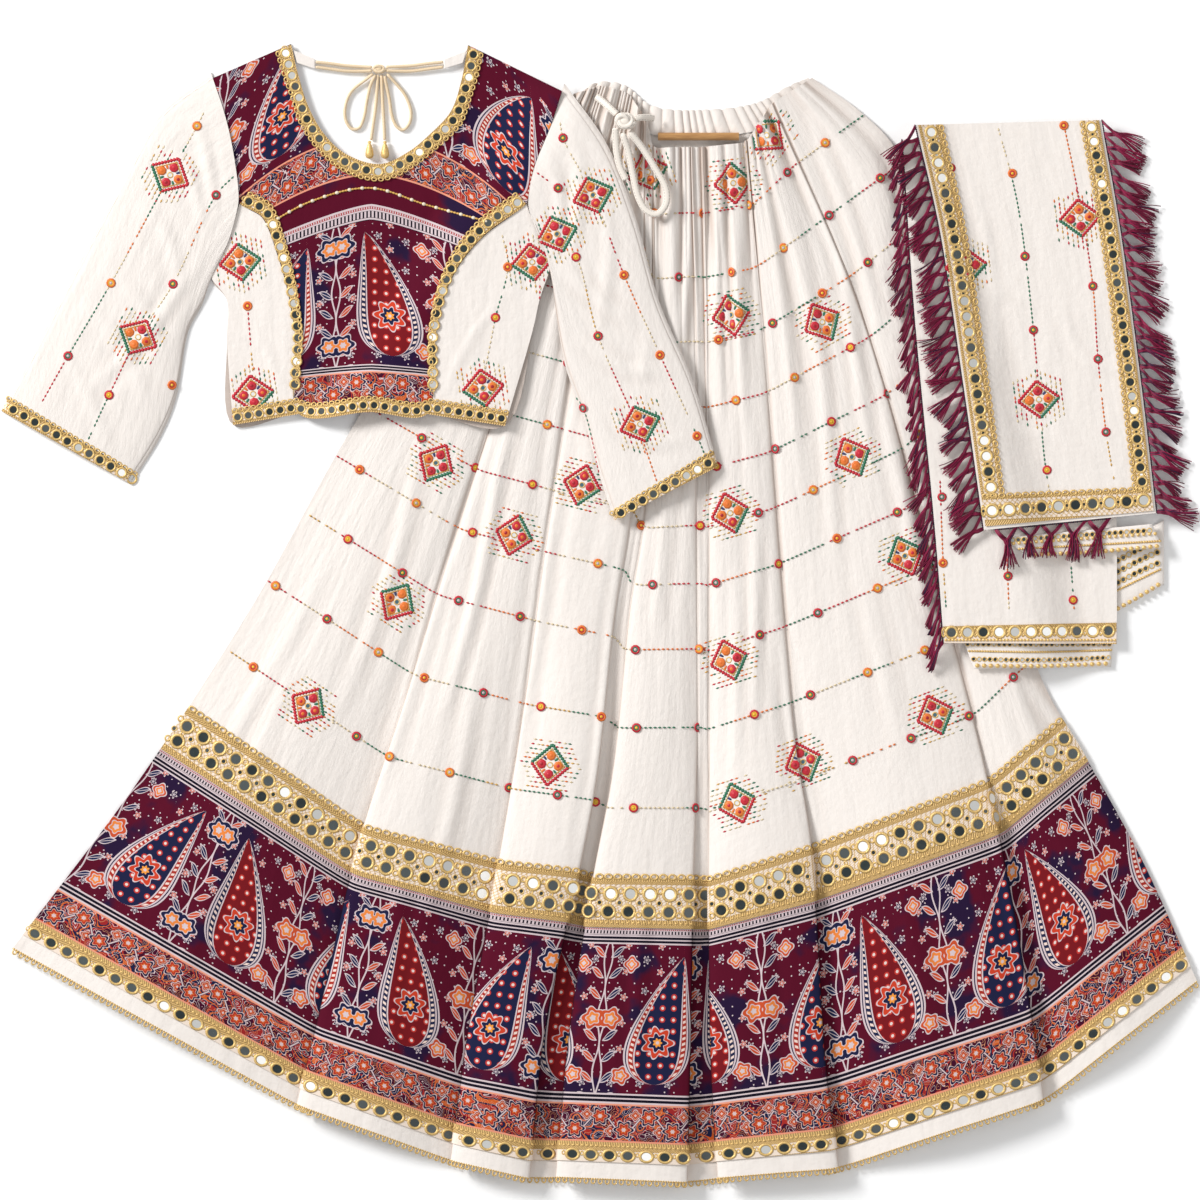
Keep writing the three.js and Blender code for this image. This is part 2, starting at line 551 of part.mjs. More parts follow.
function buildNeckTies() {
  Object.entries(NECK_TIES).forEach(([side, tie]) => {
    const [[fromX, fromY], [toX, toY]] = tie.tab;
    const corners = [[fromX, fromY], [toX, toY - 4], [toX, toY + 6], [fromX + Math.sign(toX - fromX) * 4, fromY + 13]];
    const shape = new THREE.Shape(corners.map(([x, y]) => new THREE.Vector2(...onSheet([x, y]).toArray())));
    const tab = new THREE.ExtrudeGeometry(shape, { depth: 2.4, bevelEnabled: false });
    addMesh(`neck_tie_tab_${side}`, "cloth", tab.translate(0, 0, CLOTH.wall + CHOLI.backGap + 0.7));
    ["upper", "lower", "loop", "tail"].forEach((run) => {
      addMesh(`neck_tie_${side}_${run}`, "cord", cordAlong(tie[run], TIE.diameter));
    });
    const profile = TASSEL_PROFILE.map(([r, y]) => new THREE.Vector2(r, -y));
    const tassel = new THREE.LatheGeometry(profile.reverse(), 8);
    addMesh(`neck_tie_tassel_${side}`, "lace",
      tassel.translate(...onSheet([tie.tassel[0], tie.tassel[1] - 11.2], tie.tassel[2]).toArray()));
  });
  addMesh("neck_tie_knot", "cord", roundForm(TIE.knot, TIE.knotSize));
}

// The skirt's drawstring, a soft tape knotted on the front, and the plain wooden bar inside the waist.
const DRAWSTRING = { width: 6.5, knot: [625, 121, 21.6], knotSize: [21, 17, 12.5] };
const DRAWSTRING_RUNS = {
  loop: [[629.4, 131.4, 21.6], [641, 146, 19], [655, 168, 17.5], [666, 189, 17], [666, 204, 17], [657, 214, 17],
    [646, 210, 17], [638, 196, 17], [633, 175, 17.5], [628.5, 152, 19], [622.5, 133, 22]],
  tail: [[615.4, 127.9, 21.6], [616, 142, 19], [617, 154, 18], [620, 167, 17.5], [626, 180, 17.5]],
  left_end: [[596, 96.5, 12.4], [602, 101, 15.5], [609.5, 107.8, 19.5], [616.6, 114.2, 21.6]],
  right_end: [[654, 118.5, 10.6], [648, 117.6, 15], [640.4, 117.6, 20], [635, 118.6, 21.6]],
};
const BAR = { from: 658, to: 739, at: 136.5, diameter: 8, height: 6.4 };

function buildWaist() {
  Object.entries(DRAWSTRING_RUNS).forEach(([run, route]) => {
    addMesh(`drawstring_${run}`, "tape", cordAlong(route, DRAWSTRING.width));
  });
  addMesh("drawstring_knot", "tape", roundForm(DRAWSTRING.knot, DRAWSTRING.knotSize, -0.5));
  const bar = new THREE.CylinderGeometry(BAR.diameter / 2, BAR.diameter / 2, BAR.to - BAR.from, 14);
  const middle = onSheet([(BAR.from + BAR.to) / 2, BAR.at], BAR.height);
  addMesh("waist_bar", "wood", bar.rotateZ(Math.PI / 2).translate(...middle.toArray()));
}

// The stole, folded to a narrow stack: a rounded stack of hidden layers, with the layers that show on and beside it.
// The two rows before the bottom lace stand a seam apart, so that the side laces end clear of it.
const STOLE = { width: 180, length: 400, stack: 5.2, fold: 2.2, sideLace: 24, rightLace: 19, bottomLace: 29, gap: 0.8 };
const STOLE_TOP = {
  left: [[916, 125], [940, 231], [962, 375], [984, 530]],
  right: [[1101, 120], [1120, 229], [1143, 400], [1156, 513]],
};
const STOLE_MIDDLE = {
  left: [[903, 140], [914, 307], [935, 530], [944, 643]],
  right: [[1088, 134], [1106, 300], [1116, 500], [1117, 644]],
};
const STOLE_STACK = {
  left: [[911, 146], [921, 307], [938, 520], [948, 636]],
  right: [[1085, 136], [1100, 300], [1110, 500], [1110, 638]],
};
const STOLE_UNDER = { left: [[962, 636.8], [974, 669]], right: [[1114, 638.7], [1111, 667]] };
const STOLE_RIGHT = { left: [[1110.9, 549], [1110.9, 615]], right: [[1164, 520], [1164, 585]] };
const STOLE_UPPER = { left: [[1000, 538], [1030, 557]], right: [[1152, 524], [1163, 548]] };

function roundedStack(paths, thickness, across, down, lift) {
  const edge = (share, n) => Math.min(1, Math.min(share, 1 - share) * n);
  const round = (u, v) => Math.sqrt(Math.min(edge(u, across), edge(v, down)));
  const grid = (rise) => patchGrid(paths, shares(across), shares(down),
    (p, u, v) => onSkirtRight(p) + (lift > 0 ? parting(onSkirtRight(p)) + lift : 0) + rise(u, v));
  return wallBetween(grid((u, v) => thickness * (0.6 + 0.4 * round(u, v))),
    grid((u, v) => thickness * 0.25 * (1 - round(u, v))));
}

function buildStole() {
  const { stack, fold, gap } = STOLE;
  const level = { middle: stack + gap, upper: stack + 2.2 + CLOTH.wall, top: stack + 2.8 + CLOTH.wall + fold };
  const onStack = (lift) => (p) => onSkirtRight(p) + parting(onSkirtRight(p)) + lift;
  addMesh("dupatta_hidden_layers", "cloth", roundedStack(STOLE_STACK, stack, 6, 9, 0));
  addMesh("dupatta_under_fold", "cloth", roundedStack(STOLE_UNDER, fold * 2, 6, 2, 0));
  addMesh("dupatta_right_fold", "cloth", roundedStack(STOLE_RIGHT, fold * 2, 3, 4, 0));
  addMesh("dupatta_upper_fold", "cloth", roundedStack(STOLE_UPPER, fold, 6, 2, level.upper));
  const across = [0, 0.12, 0.3, 0.45, 0.6, 0.75, 0.9, 1];
  const middle = patchGrid(STOLE_MIDDLE, across, [0, 0.16, 0.3, 0.42, 0.54, 0.66, 0.77, 0.87, 0.95, 1],
    onStack(level.middle));
  addMesh("dupatta_middle_layer", "cloth", thickened(middle));
  addMesh("dupatta_middle_lace", "lace", trimOn(cellsOf(middle, [8, 9], [0, 7])));
  const topAcross = [0, STOLE.sideLace / STOLE.width, 0.3, 0.5, 0.7, 1 - STOLE.rightLace / STOLE.width, 1];
  const laceRow = 1 - STOLE.bottomLace / STOLE.length;
  const topDown = [0, 0.15, 0.3, 0.45, 0.6, 0.75, 0.84, laceRow - 0.0015, laceRow, 1];
  const top = patchGrid(STOLE_TOP, topAcross, topDown, onStack(level.top));
  addMesh("dupatta_top_layer", "cloth", thickened(top));
  addMesh("dupatta_top_lace_left", "lace", trimOn(cellsOf(top, [0, 7], [0, 1])));
  addMesh("dupatta_top_lace_right", "lace", trimOn(cellsOf(top, [0, 7], [5, 6])));
  addMesh("dupatta_top_lace_bottom", "lace", trimOn(cellsOf(top, [8, 9], [0, 6])));
  return { top, middle };
}

// Fringe: strands rooted in a narrow strip beside a layer's edge, fused into one body for each strip.
// layer and edge: where the strip runs, from and to as shares of that edge. reach: how high the strands end.
const STRAND = { thick: 1.6, perTassel: 2, apart: 3, spread: 0.3 };
const STRIP = { half: 0.6, halfHeight: 0.9, gap: 0.3, pieces: 8 };
const FRINGES = [
  { name: "dupatta_fringe_right", layer: "top", edge: "right", from: 0, to: 1, tassels: 17, length: 47,
    aim: [0.93, 0.36], endHeight: 1.4 },
  { name: "dupatta_fringe_left", layer: "top", edge: "left", from: 0, to: 1, tassels: 15, length: 36,
    aim: [-0.72, 0.7], endHeight: 9.6 },
  { name: "dupatta_fringe_under", layer: "middle", edge: "left", from: 0, to: 1, tassels: 16, length: 34,
    aim: [-0.6, 0.8], endHeight: 2.2 },
  { name: "dupatta_fringe_end", layer: "top", edge: "bottom", from: 0.04, to: 0.8, tassels: 5, length: 40,
    aim: [-0.12, 1], endHeight: 13.2 },
];

function solidOf(geometry) {
  const plain = geometry.clone();
  plain.deleteAttribute("normal");
  plain.deleteAttribute("uv");
  const merged = mergeVertices(plain, 1e-4);
  const triVerts = new Uint32Array(merged.index.array);
  return new wasm.Manifold(new wasm.Mesh({ numProp: 3, vertProperties: merged.attributes.position.array, triVerts }));
}

function geometryFrom(solid) {
  const mesh = solid.getMesh();
  const geometry = new THREE.BufferGeometry();
  geometry.setAttribute("position", new THREE.BufferAttribute(mesh.vertProperties, 3));
  geometry.setIndex(new THREE.BufferAttribute(mesh.triVerts, 1));
  return geometry;
}

// One strand: a three-sided spike that tapers along three points.
function strandBetween(points) {
  const rings = points.map((point, i) => {
    const size = STRAND.thick * (1 - 0.25 * i);
    return [[-0.5, -0.4], [0.5, -0.4], [0, 0.6]].map(([a, b]) => {
      const next = points[Math.min(points.length - 1, i + 1)];
      const last = points[Math.max(0, i - 1)];
      const along = next.clone().sub(last).normalize();
      const side = new THREE.Vector3(0, 0, 1).cross(along).normalize();
      const up = along.clone().cross(side);
      return point.clone().addScaledVector(side, a * size).addScaledVector(up, b * size);
    });
  });
  const triangles = [];
  count(rings.length - 1).forEach((r) => count(3).forEach((c) => {
    const [a, b] = [r * 3 + c, r * 3 + ((c + 1) % 3)];
    triangles.push(a, b + 3, a + 3, a, b, b + 3);
  }));
  const end = (rings.length - 1) * 3;
  triangles.push(0, 2, 1, end, end + 1, end + 2);
  return geometryOf(rings.flat(), triangles);
}

// A layer's edge as a smooth line just outside it, at the layer's middle height.
function edgeLine(grid, edge, aim) {
  const points = { left: grid.map((row) => row[0]), right: grid.map((row) => row.at(-1)), bottom: grid.at(-1) }[edge];
  const outside = points.map((p) => p.clone().addScaledVector(aim, STRIP.gap + STRIP.half));
  return new THREE.CatmullRomCurve3(outside.map((p) => p.setZ(p.z + CLOTH.wall / 2)), false, "centripetal");
}

function buildFringes(layers) {
  const squareTo = { left: new THREE.Vector3(-1, 0, 0), right: new THREE.Vector3(1, 0, 0), bottom: new THREE.Vector3(0, -1, 0) };
  FRINGES.forEach((fringe) => {
    const out = squareTo[fringe.edge];
    const line = edgeLine(layers[fringe.layer], fringe.edge, out);
    const aim = new THREE.Vector3(fringe.aim[0], -fringe.aim[1], 0).normalize();
    const rootAt = (share) => line.getPointAt(mix(fringe.from, fringe.to, share));
    const along = rootAt(1).sub(rootAt(0)).setZ(0).normalize();
    const strip = shares(STRIP.pieces).map((share) => rootAt(share));
    const band = [1, -1].map((side) => strip.map((p) => p.clone().addScaledVector(out, -side * STRIP.half)));
    let solid = solidOf(wallBetween(lifted(band, STRIP.halfHeight), lifted(band, -STRIP.halfHeight)));
    if (solid.volume() < 0) solid = solidOf(wallBetween(lifted(band, -STRIP.halfHeight), lifted(band, STRIP.halfHeight)));
    count(fringe.tassels).forEach((i) => count(STRAND.perTassel).forEach((k) => {
      const root = rootAt((i + 0.5) / fringe.tassels).addScaledVector(along, (k - 0.5) * STRAND.apart);
      const lean = (k - 0.5) * STRAND.spread + 0.22 * Math.sin(i * 2.3 + k);
      const away = aim.clone().addScaledVector(along, lean).normalize();
      const length = fringe.length * (0.9 + 0.12 * Math.sin(i * 1.7 + k * 2.1));
      const tip = root.clone().addScaledVector(away, length);
      tip.z = Math.max(onSkirtRight(tip) + parting(onSkirtRight(tip)) + fringe.endHeight, 1.2);
      solid = solid.add(solidOf(strandBetween([root, tip])));
    }));
    addMesh(fringe.name, "fringe", geometryFrom(solid));
  });
}

buildSkirtFront();
buildSkirtBack();
buildCholiBody();
buildSleeves();
buildNeckTies();
buildWaist();
buildFringes(buildStole());

export default garment;
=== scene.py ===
# Builds the looks of a lehenga choli laid out flat: a gathered skirt, a cropped blouse and a folded stole.
# Plan places are millimetres on the laying-out sheet: X to the right and Y down from its top left corner.
import math

import bmesh
import bpy
import numpy as np
from bpy.props import FloatVectorProperty, IntProperty, PointerProperty
from mathutils import Matrix, Vector
from mathutils.bvhtree import BVHTree


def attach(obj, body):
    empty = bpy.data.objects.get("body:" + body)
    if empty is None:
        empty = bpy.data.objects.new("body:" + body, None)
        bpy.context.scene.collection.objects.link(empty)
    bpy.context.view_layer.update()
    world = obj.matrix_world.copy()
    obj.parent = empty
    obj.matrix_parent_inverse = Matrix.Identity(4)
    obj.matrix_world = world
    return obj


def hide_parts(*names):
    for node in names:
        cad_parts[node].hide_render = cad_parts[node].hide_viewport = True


bl_info = {
    "name": "Lehenga Choli Set",
    "version": (1, 0, 0),
    "blender": (4, 5, 0),
    "location": "View3D > Sidebar > Lehenga",
    "description": "Dresses the packed lehenga choli in cloth, lace, mirrors, cords and fringe",
    "category": "Object",
}

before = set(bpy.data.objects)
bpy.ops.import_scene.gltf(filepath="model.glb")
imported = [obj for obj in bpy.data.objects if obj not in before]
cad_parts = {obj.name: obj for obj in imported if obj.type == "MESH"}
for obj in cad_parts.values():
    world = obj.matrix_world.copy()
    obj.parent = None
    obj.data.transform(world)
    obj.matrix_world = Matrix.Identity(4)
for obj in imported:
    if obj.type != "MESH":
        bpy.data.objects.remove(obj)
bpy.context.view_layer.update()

MM = 0.001
SHEET = (601.0, 616.5)
WALL = 1.2
LOW, UPPER_CROWN, EDGE, ON_SKIRT, PARTING = 3.6, 5.0, 2.9, 13.0, 4.4
CASING, LACE_TOP, BORDER_TOP, BORDER_BOTTOM, LACE_BOTTOM = 0.03, 0.7, 0.7495, 0.9634, 0.9832
# The print's scale: millimetres down the skirt in all, and the level at which it is measured across.
PRINT_RUN, PRINT_LEVEL = 1010, 0.86

# Fold lines of the skirt's front: side its rounded edge faces, trimmed length, opening share, depth, plan points.
RAILS = [
    ("side", 297, 0, 0, [(574, 94), (500, 207), (360, 415), (250, 610), (137, 783), (13, 948)]),
    ("left", 285, 0.45, 15, [(602, 86), (536, 290), (452, 550), (409, 689), (360, 840), (320, 1011), (297, 1104)]),
    ("left", 301, 0.5, 14, [(628, 94), (588, 290), (546, 553), (528, 686), (500, 856), (467, 1041), (451, 1160)]),
    ("right", 310, 0.42, 12, [(645, 118), (641, 330), (629, 521), (615, 607), (597, 773), (577, 880), (545, 1027),
                              (529, 1178)]),
    ("left", 302, 0.42, 12, [(654, 146), (653, 340), (645, 521), (631, 610), (613, 773), (593, 880), (570, 1030),
                             (556, 1177)]),
    ("right", 303, 0.55, 13, [(690, 147), (694, 340), (695, 531), (696, 760), (693, 881), (691, 1007), (687, 1182)]),
    ("left", 298, 0.55, 13, [(703, 147), (708, 340), (710, 531), (710, 760), (709, 882), (711, 1061), (718, 1178)]),
    ("right", 320, 0.52, 14, [(745, 141), (765, 380), (784, 628), (795, 745), (811, 847), (825, 1061), (838, 1167)]),
    ("right", 322, 0.58, 15, [(772, 104), (855, 300), (930, 560), (984, 767), (1012, 901), (1031, 1014),
                              (1043, 1099)]),
    ("side", 294, 0, 0, [(812, 78), (858, 110), (896, 150), (922, 240), (1039, 673), (1085, 756), (1140, 856),
                         (1197, 981)]),
]
# Scales of the painted fold shade: what counts as a full dip, the reach to both sides and the depth, for long folds
# and for small pleats.
FOLD_SHADE_SCALES = ((11.0, 4.4), (3.6, 3.6))
# Panels between the fold lines: crown height at the hem, and coarse columns.
PANELS = [(10, 9), (15, 8), (16, 6), (0, 0), (15, 7), (0, 0), (15, 8), (15, 8), (10, 7)]
# A fold's section: crease shift and height, folded shift and height, share of the fold's depth.
FOLD = [(-7, 3.4, -6, 0.8, 0), (-3.4, 1, 0, 0, 0.5), (-2.2, 0.6, 0, 3.4, 1), (-1, 1, 0, 6.8, 0.5),
        (0, 2, 0, 10, 0), (5, 4.2, 6, 12.6, 0)]
GATHER_COLUMNS, GATHER_HEIGHT, GATHER_FADE, GATHER_DRIFT = 4, 3.8, 0.5, 0.7
PLEAT_HEIGHT, TUCK_HEIGHT = 1.8, 1.25
CASING_COLUMNS, CASING_PLEAT, CASING_FRILL = 300, 1.9, 1.7

BACK_HEM = [(16, 946), (160, 1018), (297, 1078), (420, 1122), (543, 1152), (700, 1160), (850, 1146), (960, 1112),
            (1042, 1062), (1194, 978)]
BACK_WAIST = [(578, 96), (596, 84), (624, 86), (652, 107), (708, 111), (757, 104), (784, 90), (808, 78)]

NECK = [(291, 44), (298, 74), (309, 108), (325, 135), (346, 154), (380, 164), (408, 152), (429, 135), (451, 111),
        (461, 82), (468, 45)]
PRINCESS_LEFT = [(240, 204), (262, 217), (276, 249), (289, 295), (296, 341), (299, 414)]
PRINCESS_RIGHT = [(526, 204), (487, 233), (459, 265), (443, 299), (434, 341), (427, 414)]
ARMHOLE_LEFT = [(213, 78), (225, 114), (234, 154), (239, 198)]
ARMHOLE_RIGHT = [(562, 91), (550, 127), (534, 167), (528, 198)]
UNDERARM_LEFT = [(237, 212), (228, 243), (212, 276)]
UNDERARM_RIGHT = [(529, 212), (541, 240), (550, 265)]
SIDE_LEFT = [(212, 279), (227, 300), (227, 341), (233, 425)]
SIDE_RIGHT = [(550, 268), (540, 298), (533, 329), (505, 426)]
HEM_MIDDLE = (370, 412)
FRONT_EDGE = ARMHOLE_LEFT + PRINCESS_LEFT + [HEM_MIDDLE] + PRINCESS_RIGHT[::-1] + ARMHOLE_RIGHT[::-1]
BACK_EDGE = (ARMHOLE_LEFT + [(228, 243)] + SIDE_LEFT + [(299, 413), HEM_MIDDLE, (427, 413)] + SIDE_RIGHT[::-1]
             + [(541, 240)] + ARMHOLE_RIGHT[::-1])

# Sleeves: half a section's share across and height, top then underside, and the three edges of each.
RING = [(0, 1.7), (0.04, 3.3), (0.2, 5.2), (0.4, 6), (0.6, 6), (0.8, 5.2), (0.96, 3.3), (1, 1.7), (0.96, 0),
        (0.8, 0), (0.6, 0), (0.4, 0), (0.2, 0), (0.04, 0)]
SLEEVES = {
    "left": ([(212, 78), (163, 116), (122, 188), (82, 263), (41, 343), (5, 413)],
             [(210, 278), (202, 300), (187, 328), (174, 393), (158, 432), (127, 482)],
             [(x - 0.4, y) for x, y in ARMHOLE_LEFT + UNDERARM_LEFT]),
    "right": ([(552, 268), (557, 310), (567, 364), (585, 415), (604, 480), (617, 519)],
              [(563, 91), (604, 150), (632, 221), (656, 305), (690, 385), (715, 468)],
              [(x + 0.5, y) for x, y in UNDERARM_RIGHT[::-1] + ARMHOLE_RIGHT[::-1]]),
}

# The stole's layers: left and right edges of each.
STOLE_TOP = ([(916, 125), (940, 231), (962, 375), (984, 530)], [(1101, 120), (1120, 229), (1143, 400), (1156, 513)])
STOLE_MIDDLE = ([(903, 140), (914, 307), (935, 530), (944, 643)],
                [(1088, 134), (1106, 300), (1116, 500), (1117, 644)])
STOLE_STACK = ([(911, 146), (921, 307), (938, 520), (948, 636)], [(1085, 136), (1100, 300), (1110, 500), (1110, 638)])
STOLE_UNDER = ([(962, 636.8), (974, 669)], [(1114, 638.7), (1111, 667)])
STOLE_RIGHT = ([(1110.9, 549), (1110.9, 615)], [(1164, 520), (1164, 585)])
STOLE_UPPER = ([(1000, 538), (1030, 557)], [(1152, 524), (1163, 548)])
STACK, FOLDED, GAP = 5.2, 2.2, 0.8
MIDDLE_LIFT = STACK + GAP
UPPER_LIFT = STACK + 2.2 + WALL
TOP_LIFT = STACK + 2.8 + WALL + FOLDED

# Neck ties: the tab's corners, then each cord's route with heights, and the tassel's top.
NECK_TIES = {
    "left": {
        "tab": [(293, 50), (315, 59), (315, 69), (297, 63)],
        "upper": [(315.7, 62, 3.4), (330, 63.5, 3.2), (345, 65.5, 3), (360, 66.5, 3), (372, 67.2, 4)],
        "lower": [(315.7, 67, 3.4), (330, 69, 3.2), (345, 71, 3), (360, 71.2, 3), (372, 70.8, 4)],
        "loop": [(373, 73.9, 4), (366, 79.5, 3), (351, 92, 1.8), (345, 108, 1.7), (346, 121, 1.7), (352, 129, 1.7),
                 (359, 128, 1.7), (364, 117, 1.7), (367, 100, 1.7), (371, 84, 2.4), (375.5, 75, 4)],
        "tail": [(378, 75.2, 2.4), (377, 90, 1.7), (375.5, 108, 1.7), (373, 126, 1.7), (371, 140, 1.9)],
        "tassel": (369.5, 140.8, 3.6),
    },
    "right": {
        "tab": [(467, 50), (444, 59), (444, 69), (463, 63)],
        "upper": [(443.3, 62, 3.4), (428, 63.5, 3.2), (413, 65.5, 3), (398, 66.5, 3), (386, 67.2, 4)],
        "lower": [(443.3, 67, 3.4), (428, 69, 3.2), (413, 71, 3), (398, 71.2, 3), (386, 70.8, 4)],
        "loop": [(387, 73.9, 4), (394, 81.5, 3), (405, 95, 1.8), (411, 112, 1.7), (409, 124, 1.7), (403, 130, 1.7),
                 (397, 127, 1.7), (392, 116, 1.7), (389.5, 100, 1.7), (386.6, 86, 2.4), (384.6, 76, 4)],
        "tail": [(381.5, 75.2, 2.4), (382, 90, 1.7), (383, 108, 1.7), (384, 126, 1.7), (384.5, 140, 1.9)],
        "tassel": (385, 140.8, 3.6),
    },
}
DRAWSTRING = {
    "loop": [(629.4, 131.4, 21.6), (641, 146, 19), (655, 168, 17.5), (666, 189, 17), (666, 204, 17), (657, 214, 17),
             (646, 210, 17), (638, 196, 17), (633, 175, 17.5), (628.5, 152, 19), (622.5, 133, 22)],
    "tail": [(615.4, 127.9, 21.6), (616, 142, 19), (617, 154, 18), (620, 167, 17.5), (626, 180, 17.5)],
    "left_end": [(596, 96.5, 12.4), (602, 101, 15.5), (609.5, 107.8, 19.5), (616.6, 114.2, 21.6)],
    "right_end": [(654, 118.5, 10.6), (648, 117.6, 15), (640.4, 117.6, 20), (635, 118.6, 21.6)],
}

# Soft creases that the skirt's panels show between their folds: plan points, height and half width.
SKIRT_CREASES = [
    ([(452, 550), (378, 793)], 2.0, 7), ([(564, 400), (546, 553), (510, 798)], 2.0, 7),
    ([(516, 405), (499, 471), (478, 589), (440, 725)], 2.2, 6),
    ([(629, 521), (615, 607), (597, 773), (579, 878)], 1.6, 5), ([(702, 531), (703, 760)], 1.8, 6),
    ([(756, 505), (753, 722)], 1.8, 6), ([(784, 628), (795, 745), (817, 829)], 1.6, 5),
    ([(984, 767), (1041, 1067)], 1.8, 7), ([(1028, 681), (1055, 721)], 2, 6), ([(330, 560), (215, 770)], 1.5, 8),
    ([(880, 380), (935, 640)], 1.5, 8), ([(840, 250), (872, 460)], 2.0, 6), ([(690, 240), (668, 470)], 2.0, 5),
    ([(735, 220), (742, 430)], 2.0, 5), ([(425, 430), (395, 560), (345, 700)], 1.8, 7),
    ([(790, 200), (822, 380), (835, 560)], 2.0, 6), ([(720, 160), (715, 300), (722, 420)], 2.0, 5),
    ([(760, 160), (785, 330), (800, 480)], 2.0, 6), ([(668, 480), (655, 640)], 1.5, 6),
    ([(860, 560), (905, 760)], 1.4, 8), ([(740, 560), (735, 780)], 1.3, 6), ([(300, 640), (240, 800)], 1.3, 8),
    ([(480, 640), (455, 800), (420, 930)], 1.4, 7), ([(640, 900), (632, 1090)], 1.5, 7),
    ([(760, 890), (770, 1100)], 1.5, 7), ([(230, 830), (170, 1000)], 1.4, 9),
    ([(900, 880), (935, 1080)], 1.5, 9), ([(400, 860), (385, 1060)], 1.4, 8),
    ([(810, 120), (850, 220), (880, 330)], 2.0, 5), ([(1000, 640), (1060, 800)], 1.4, 8),
]
# Wrinkles of the sleeves and of the blouse's side panels.
BLOUSE_CREASES = [
    ([(150, 140), (190, 175), (205, 230)], 1.2, 6), ([(60, 290), (110, 330), (150, 400)], 1.3, 7),
    ([(95, 260), (140, 300), (165, 350)], 1.2, 6), ([(200, 260), (150, 330), (90, 390)], 1.1, 6),
    ([(120, 195), (165, 230), (180, 290)], 1.1, 6), ([(190, 100), (205, 150), (215, 220)], 1.2, 5),
    ([(60, 350), (90, 400), (110, 450)], 1.0, 6), ([(575, 110), (580, 180), (572, 260)], 1.4, 6),
    ([(600, 160), (610, 240), (600, 330)], 1.2, 6), ([(565, 270), (600, 300), (650, 330)], 1.4, 6),
    ([(580, 340), (630, 370), (680, 370)], 1.2, 6), ([(600, 400), (640, 440), (690, 440)], 1.1, 6),
    ([(640, 260), (650, 330), (640, 390)], 1.1, 6), ([(235, 330), (262, 345), (285, 400)], 0.8, 6),
    ([(500, 300), (470, 340), (445, 390)], 0.8, 6), ([(545, 150), (560, 200), (556, 250)], 1.0, 5),
]


# Stitch colours, and the painted reflections of the mirrors, from dark to bright: for the diamonds' middles and for
# the rest.
RED, GREEN, ORANGE, YELLOW = (0.62, 0.02, 0.04), (0.03, 0.2, 0.11), (0.85, 0.2, 0.03), (0.92, 0.55, 0.05)
GOLD_THREAD, PALE_GOLD = (0.72, 0.42, 0.1), (0.8, 0.66, 0.42)
NAVY, PALE, RUST, BLACK = (0.012, 0.014, 0.05), (0.62, 0.51, 0.53), (0.53, 0.075, 0.025), (0.008, 0.006, 0.014)
STITCHES = [RED, GREEN, GOLD_THREAD, PALE_GOLD, RED, ORANGE, GREEN, PALE_GOLD]
ROSETTES = [(RED, GREEN, PALE), (RED, YELLOW, YELLOW), (ORANGE, YELLOW, PALE), (RED, GREEN, YELLOW),
            (ORANGE, RED, YELLOW)]
EYE_REFLECTIONS = [(0.05, 0.12, 0.16), (0.7, 0.7, 0.68)]
MIRROR_REFLECTIONS = [(0.006, 0.012, 0.013), (0.012, 0.02, 0.02), (0.06, 0.07, 0.07), (0.5, 0.5, 0.48), (0.9, 0.9, 0.88)]

# Embroidered rows of the skirt, as shares of its length, and the middles of its diamonds on the sheet.
SKIRT_ROWS = [0.063, 0.124, 0.186, 0.248, 0.3065, 0.362, 0.4175, 0.48, 0.555, 0.632]
SKIRT_DIAMONDS = [(436, 463), (514, 535), (397, 602), (308, 706), (550, 765), (730, 513), (729, 660), (852, 457),
                  (935, 715), (803, 762), (737, 803), (582, 485), (731, 315), (822, 322), (733, 183), (767, 135),
                  (648, 172), (905, 556)]
SLEEVE_DIAMONDS = {"left": [(170, 175), (138, 337)], "right": [(593, 195), (557, 234), (640, 424)]}
PANEL_DIAMONDS = {"left": [(240, 262), (253, 394)], "right": [(483, 388), (532, 262)]}
STOLE_DIAMONDS = [(1080, 218), (1038.7, 399.4), (966, 266)]
STOLE_LINES = [[(995.7, 119), (1017, 201), (1033.4, 329.5), (1044.4, 458), (1050, 497)],
               [(1063.9, 125), (1077.7, 191.8), (1092.8, 286), (1098, 359), (1106, 432), (1114, 480)]]
STOLE_ROSETTES = [(1012.5, 173.4), (1024.9, 256.3), (1033.4, 330), (1063.9, 125.5), (1092.8, 286), (1098, 359),
                  (1106, 432), (951, 168), (1047, 470)]
UNDER_LINES = [[(940, 480), (943, 560), (946, 608)], [(1007, 558), (1009, 610)], [(1071, 566), (1074, 610)]]
UNDER_ROSETTES = [(942, 497), (943, 563), (1008, 576), (1073, 600)]
STOLE_CREASES = [([(960, 150), (990, 260), (1000, 380)], 0.8, 9), ([(1060, 300), (1085, 360), (1150, 372)], 0.8, 7),
                 ([(1010, 430), (1060, 440), (1100, 470)], 0.7, 8), ([(975, 290), (1030, 300), (1070, 330)], 0.6, 8)]
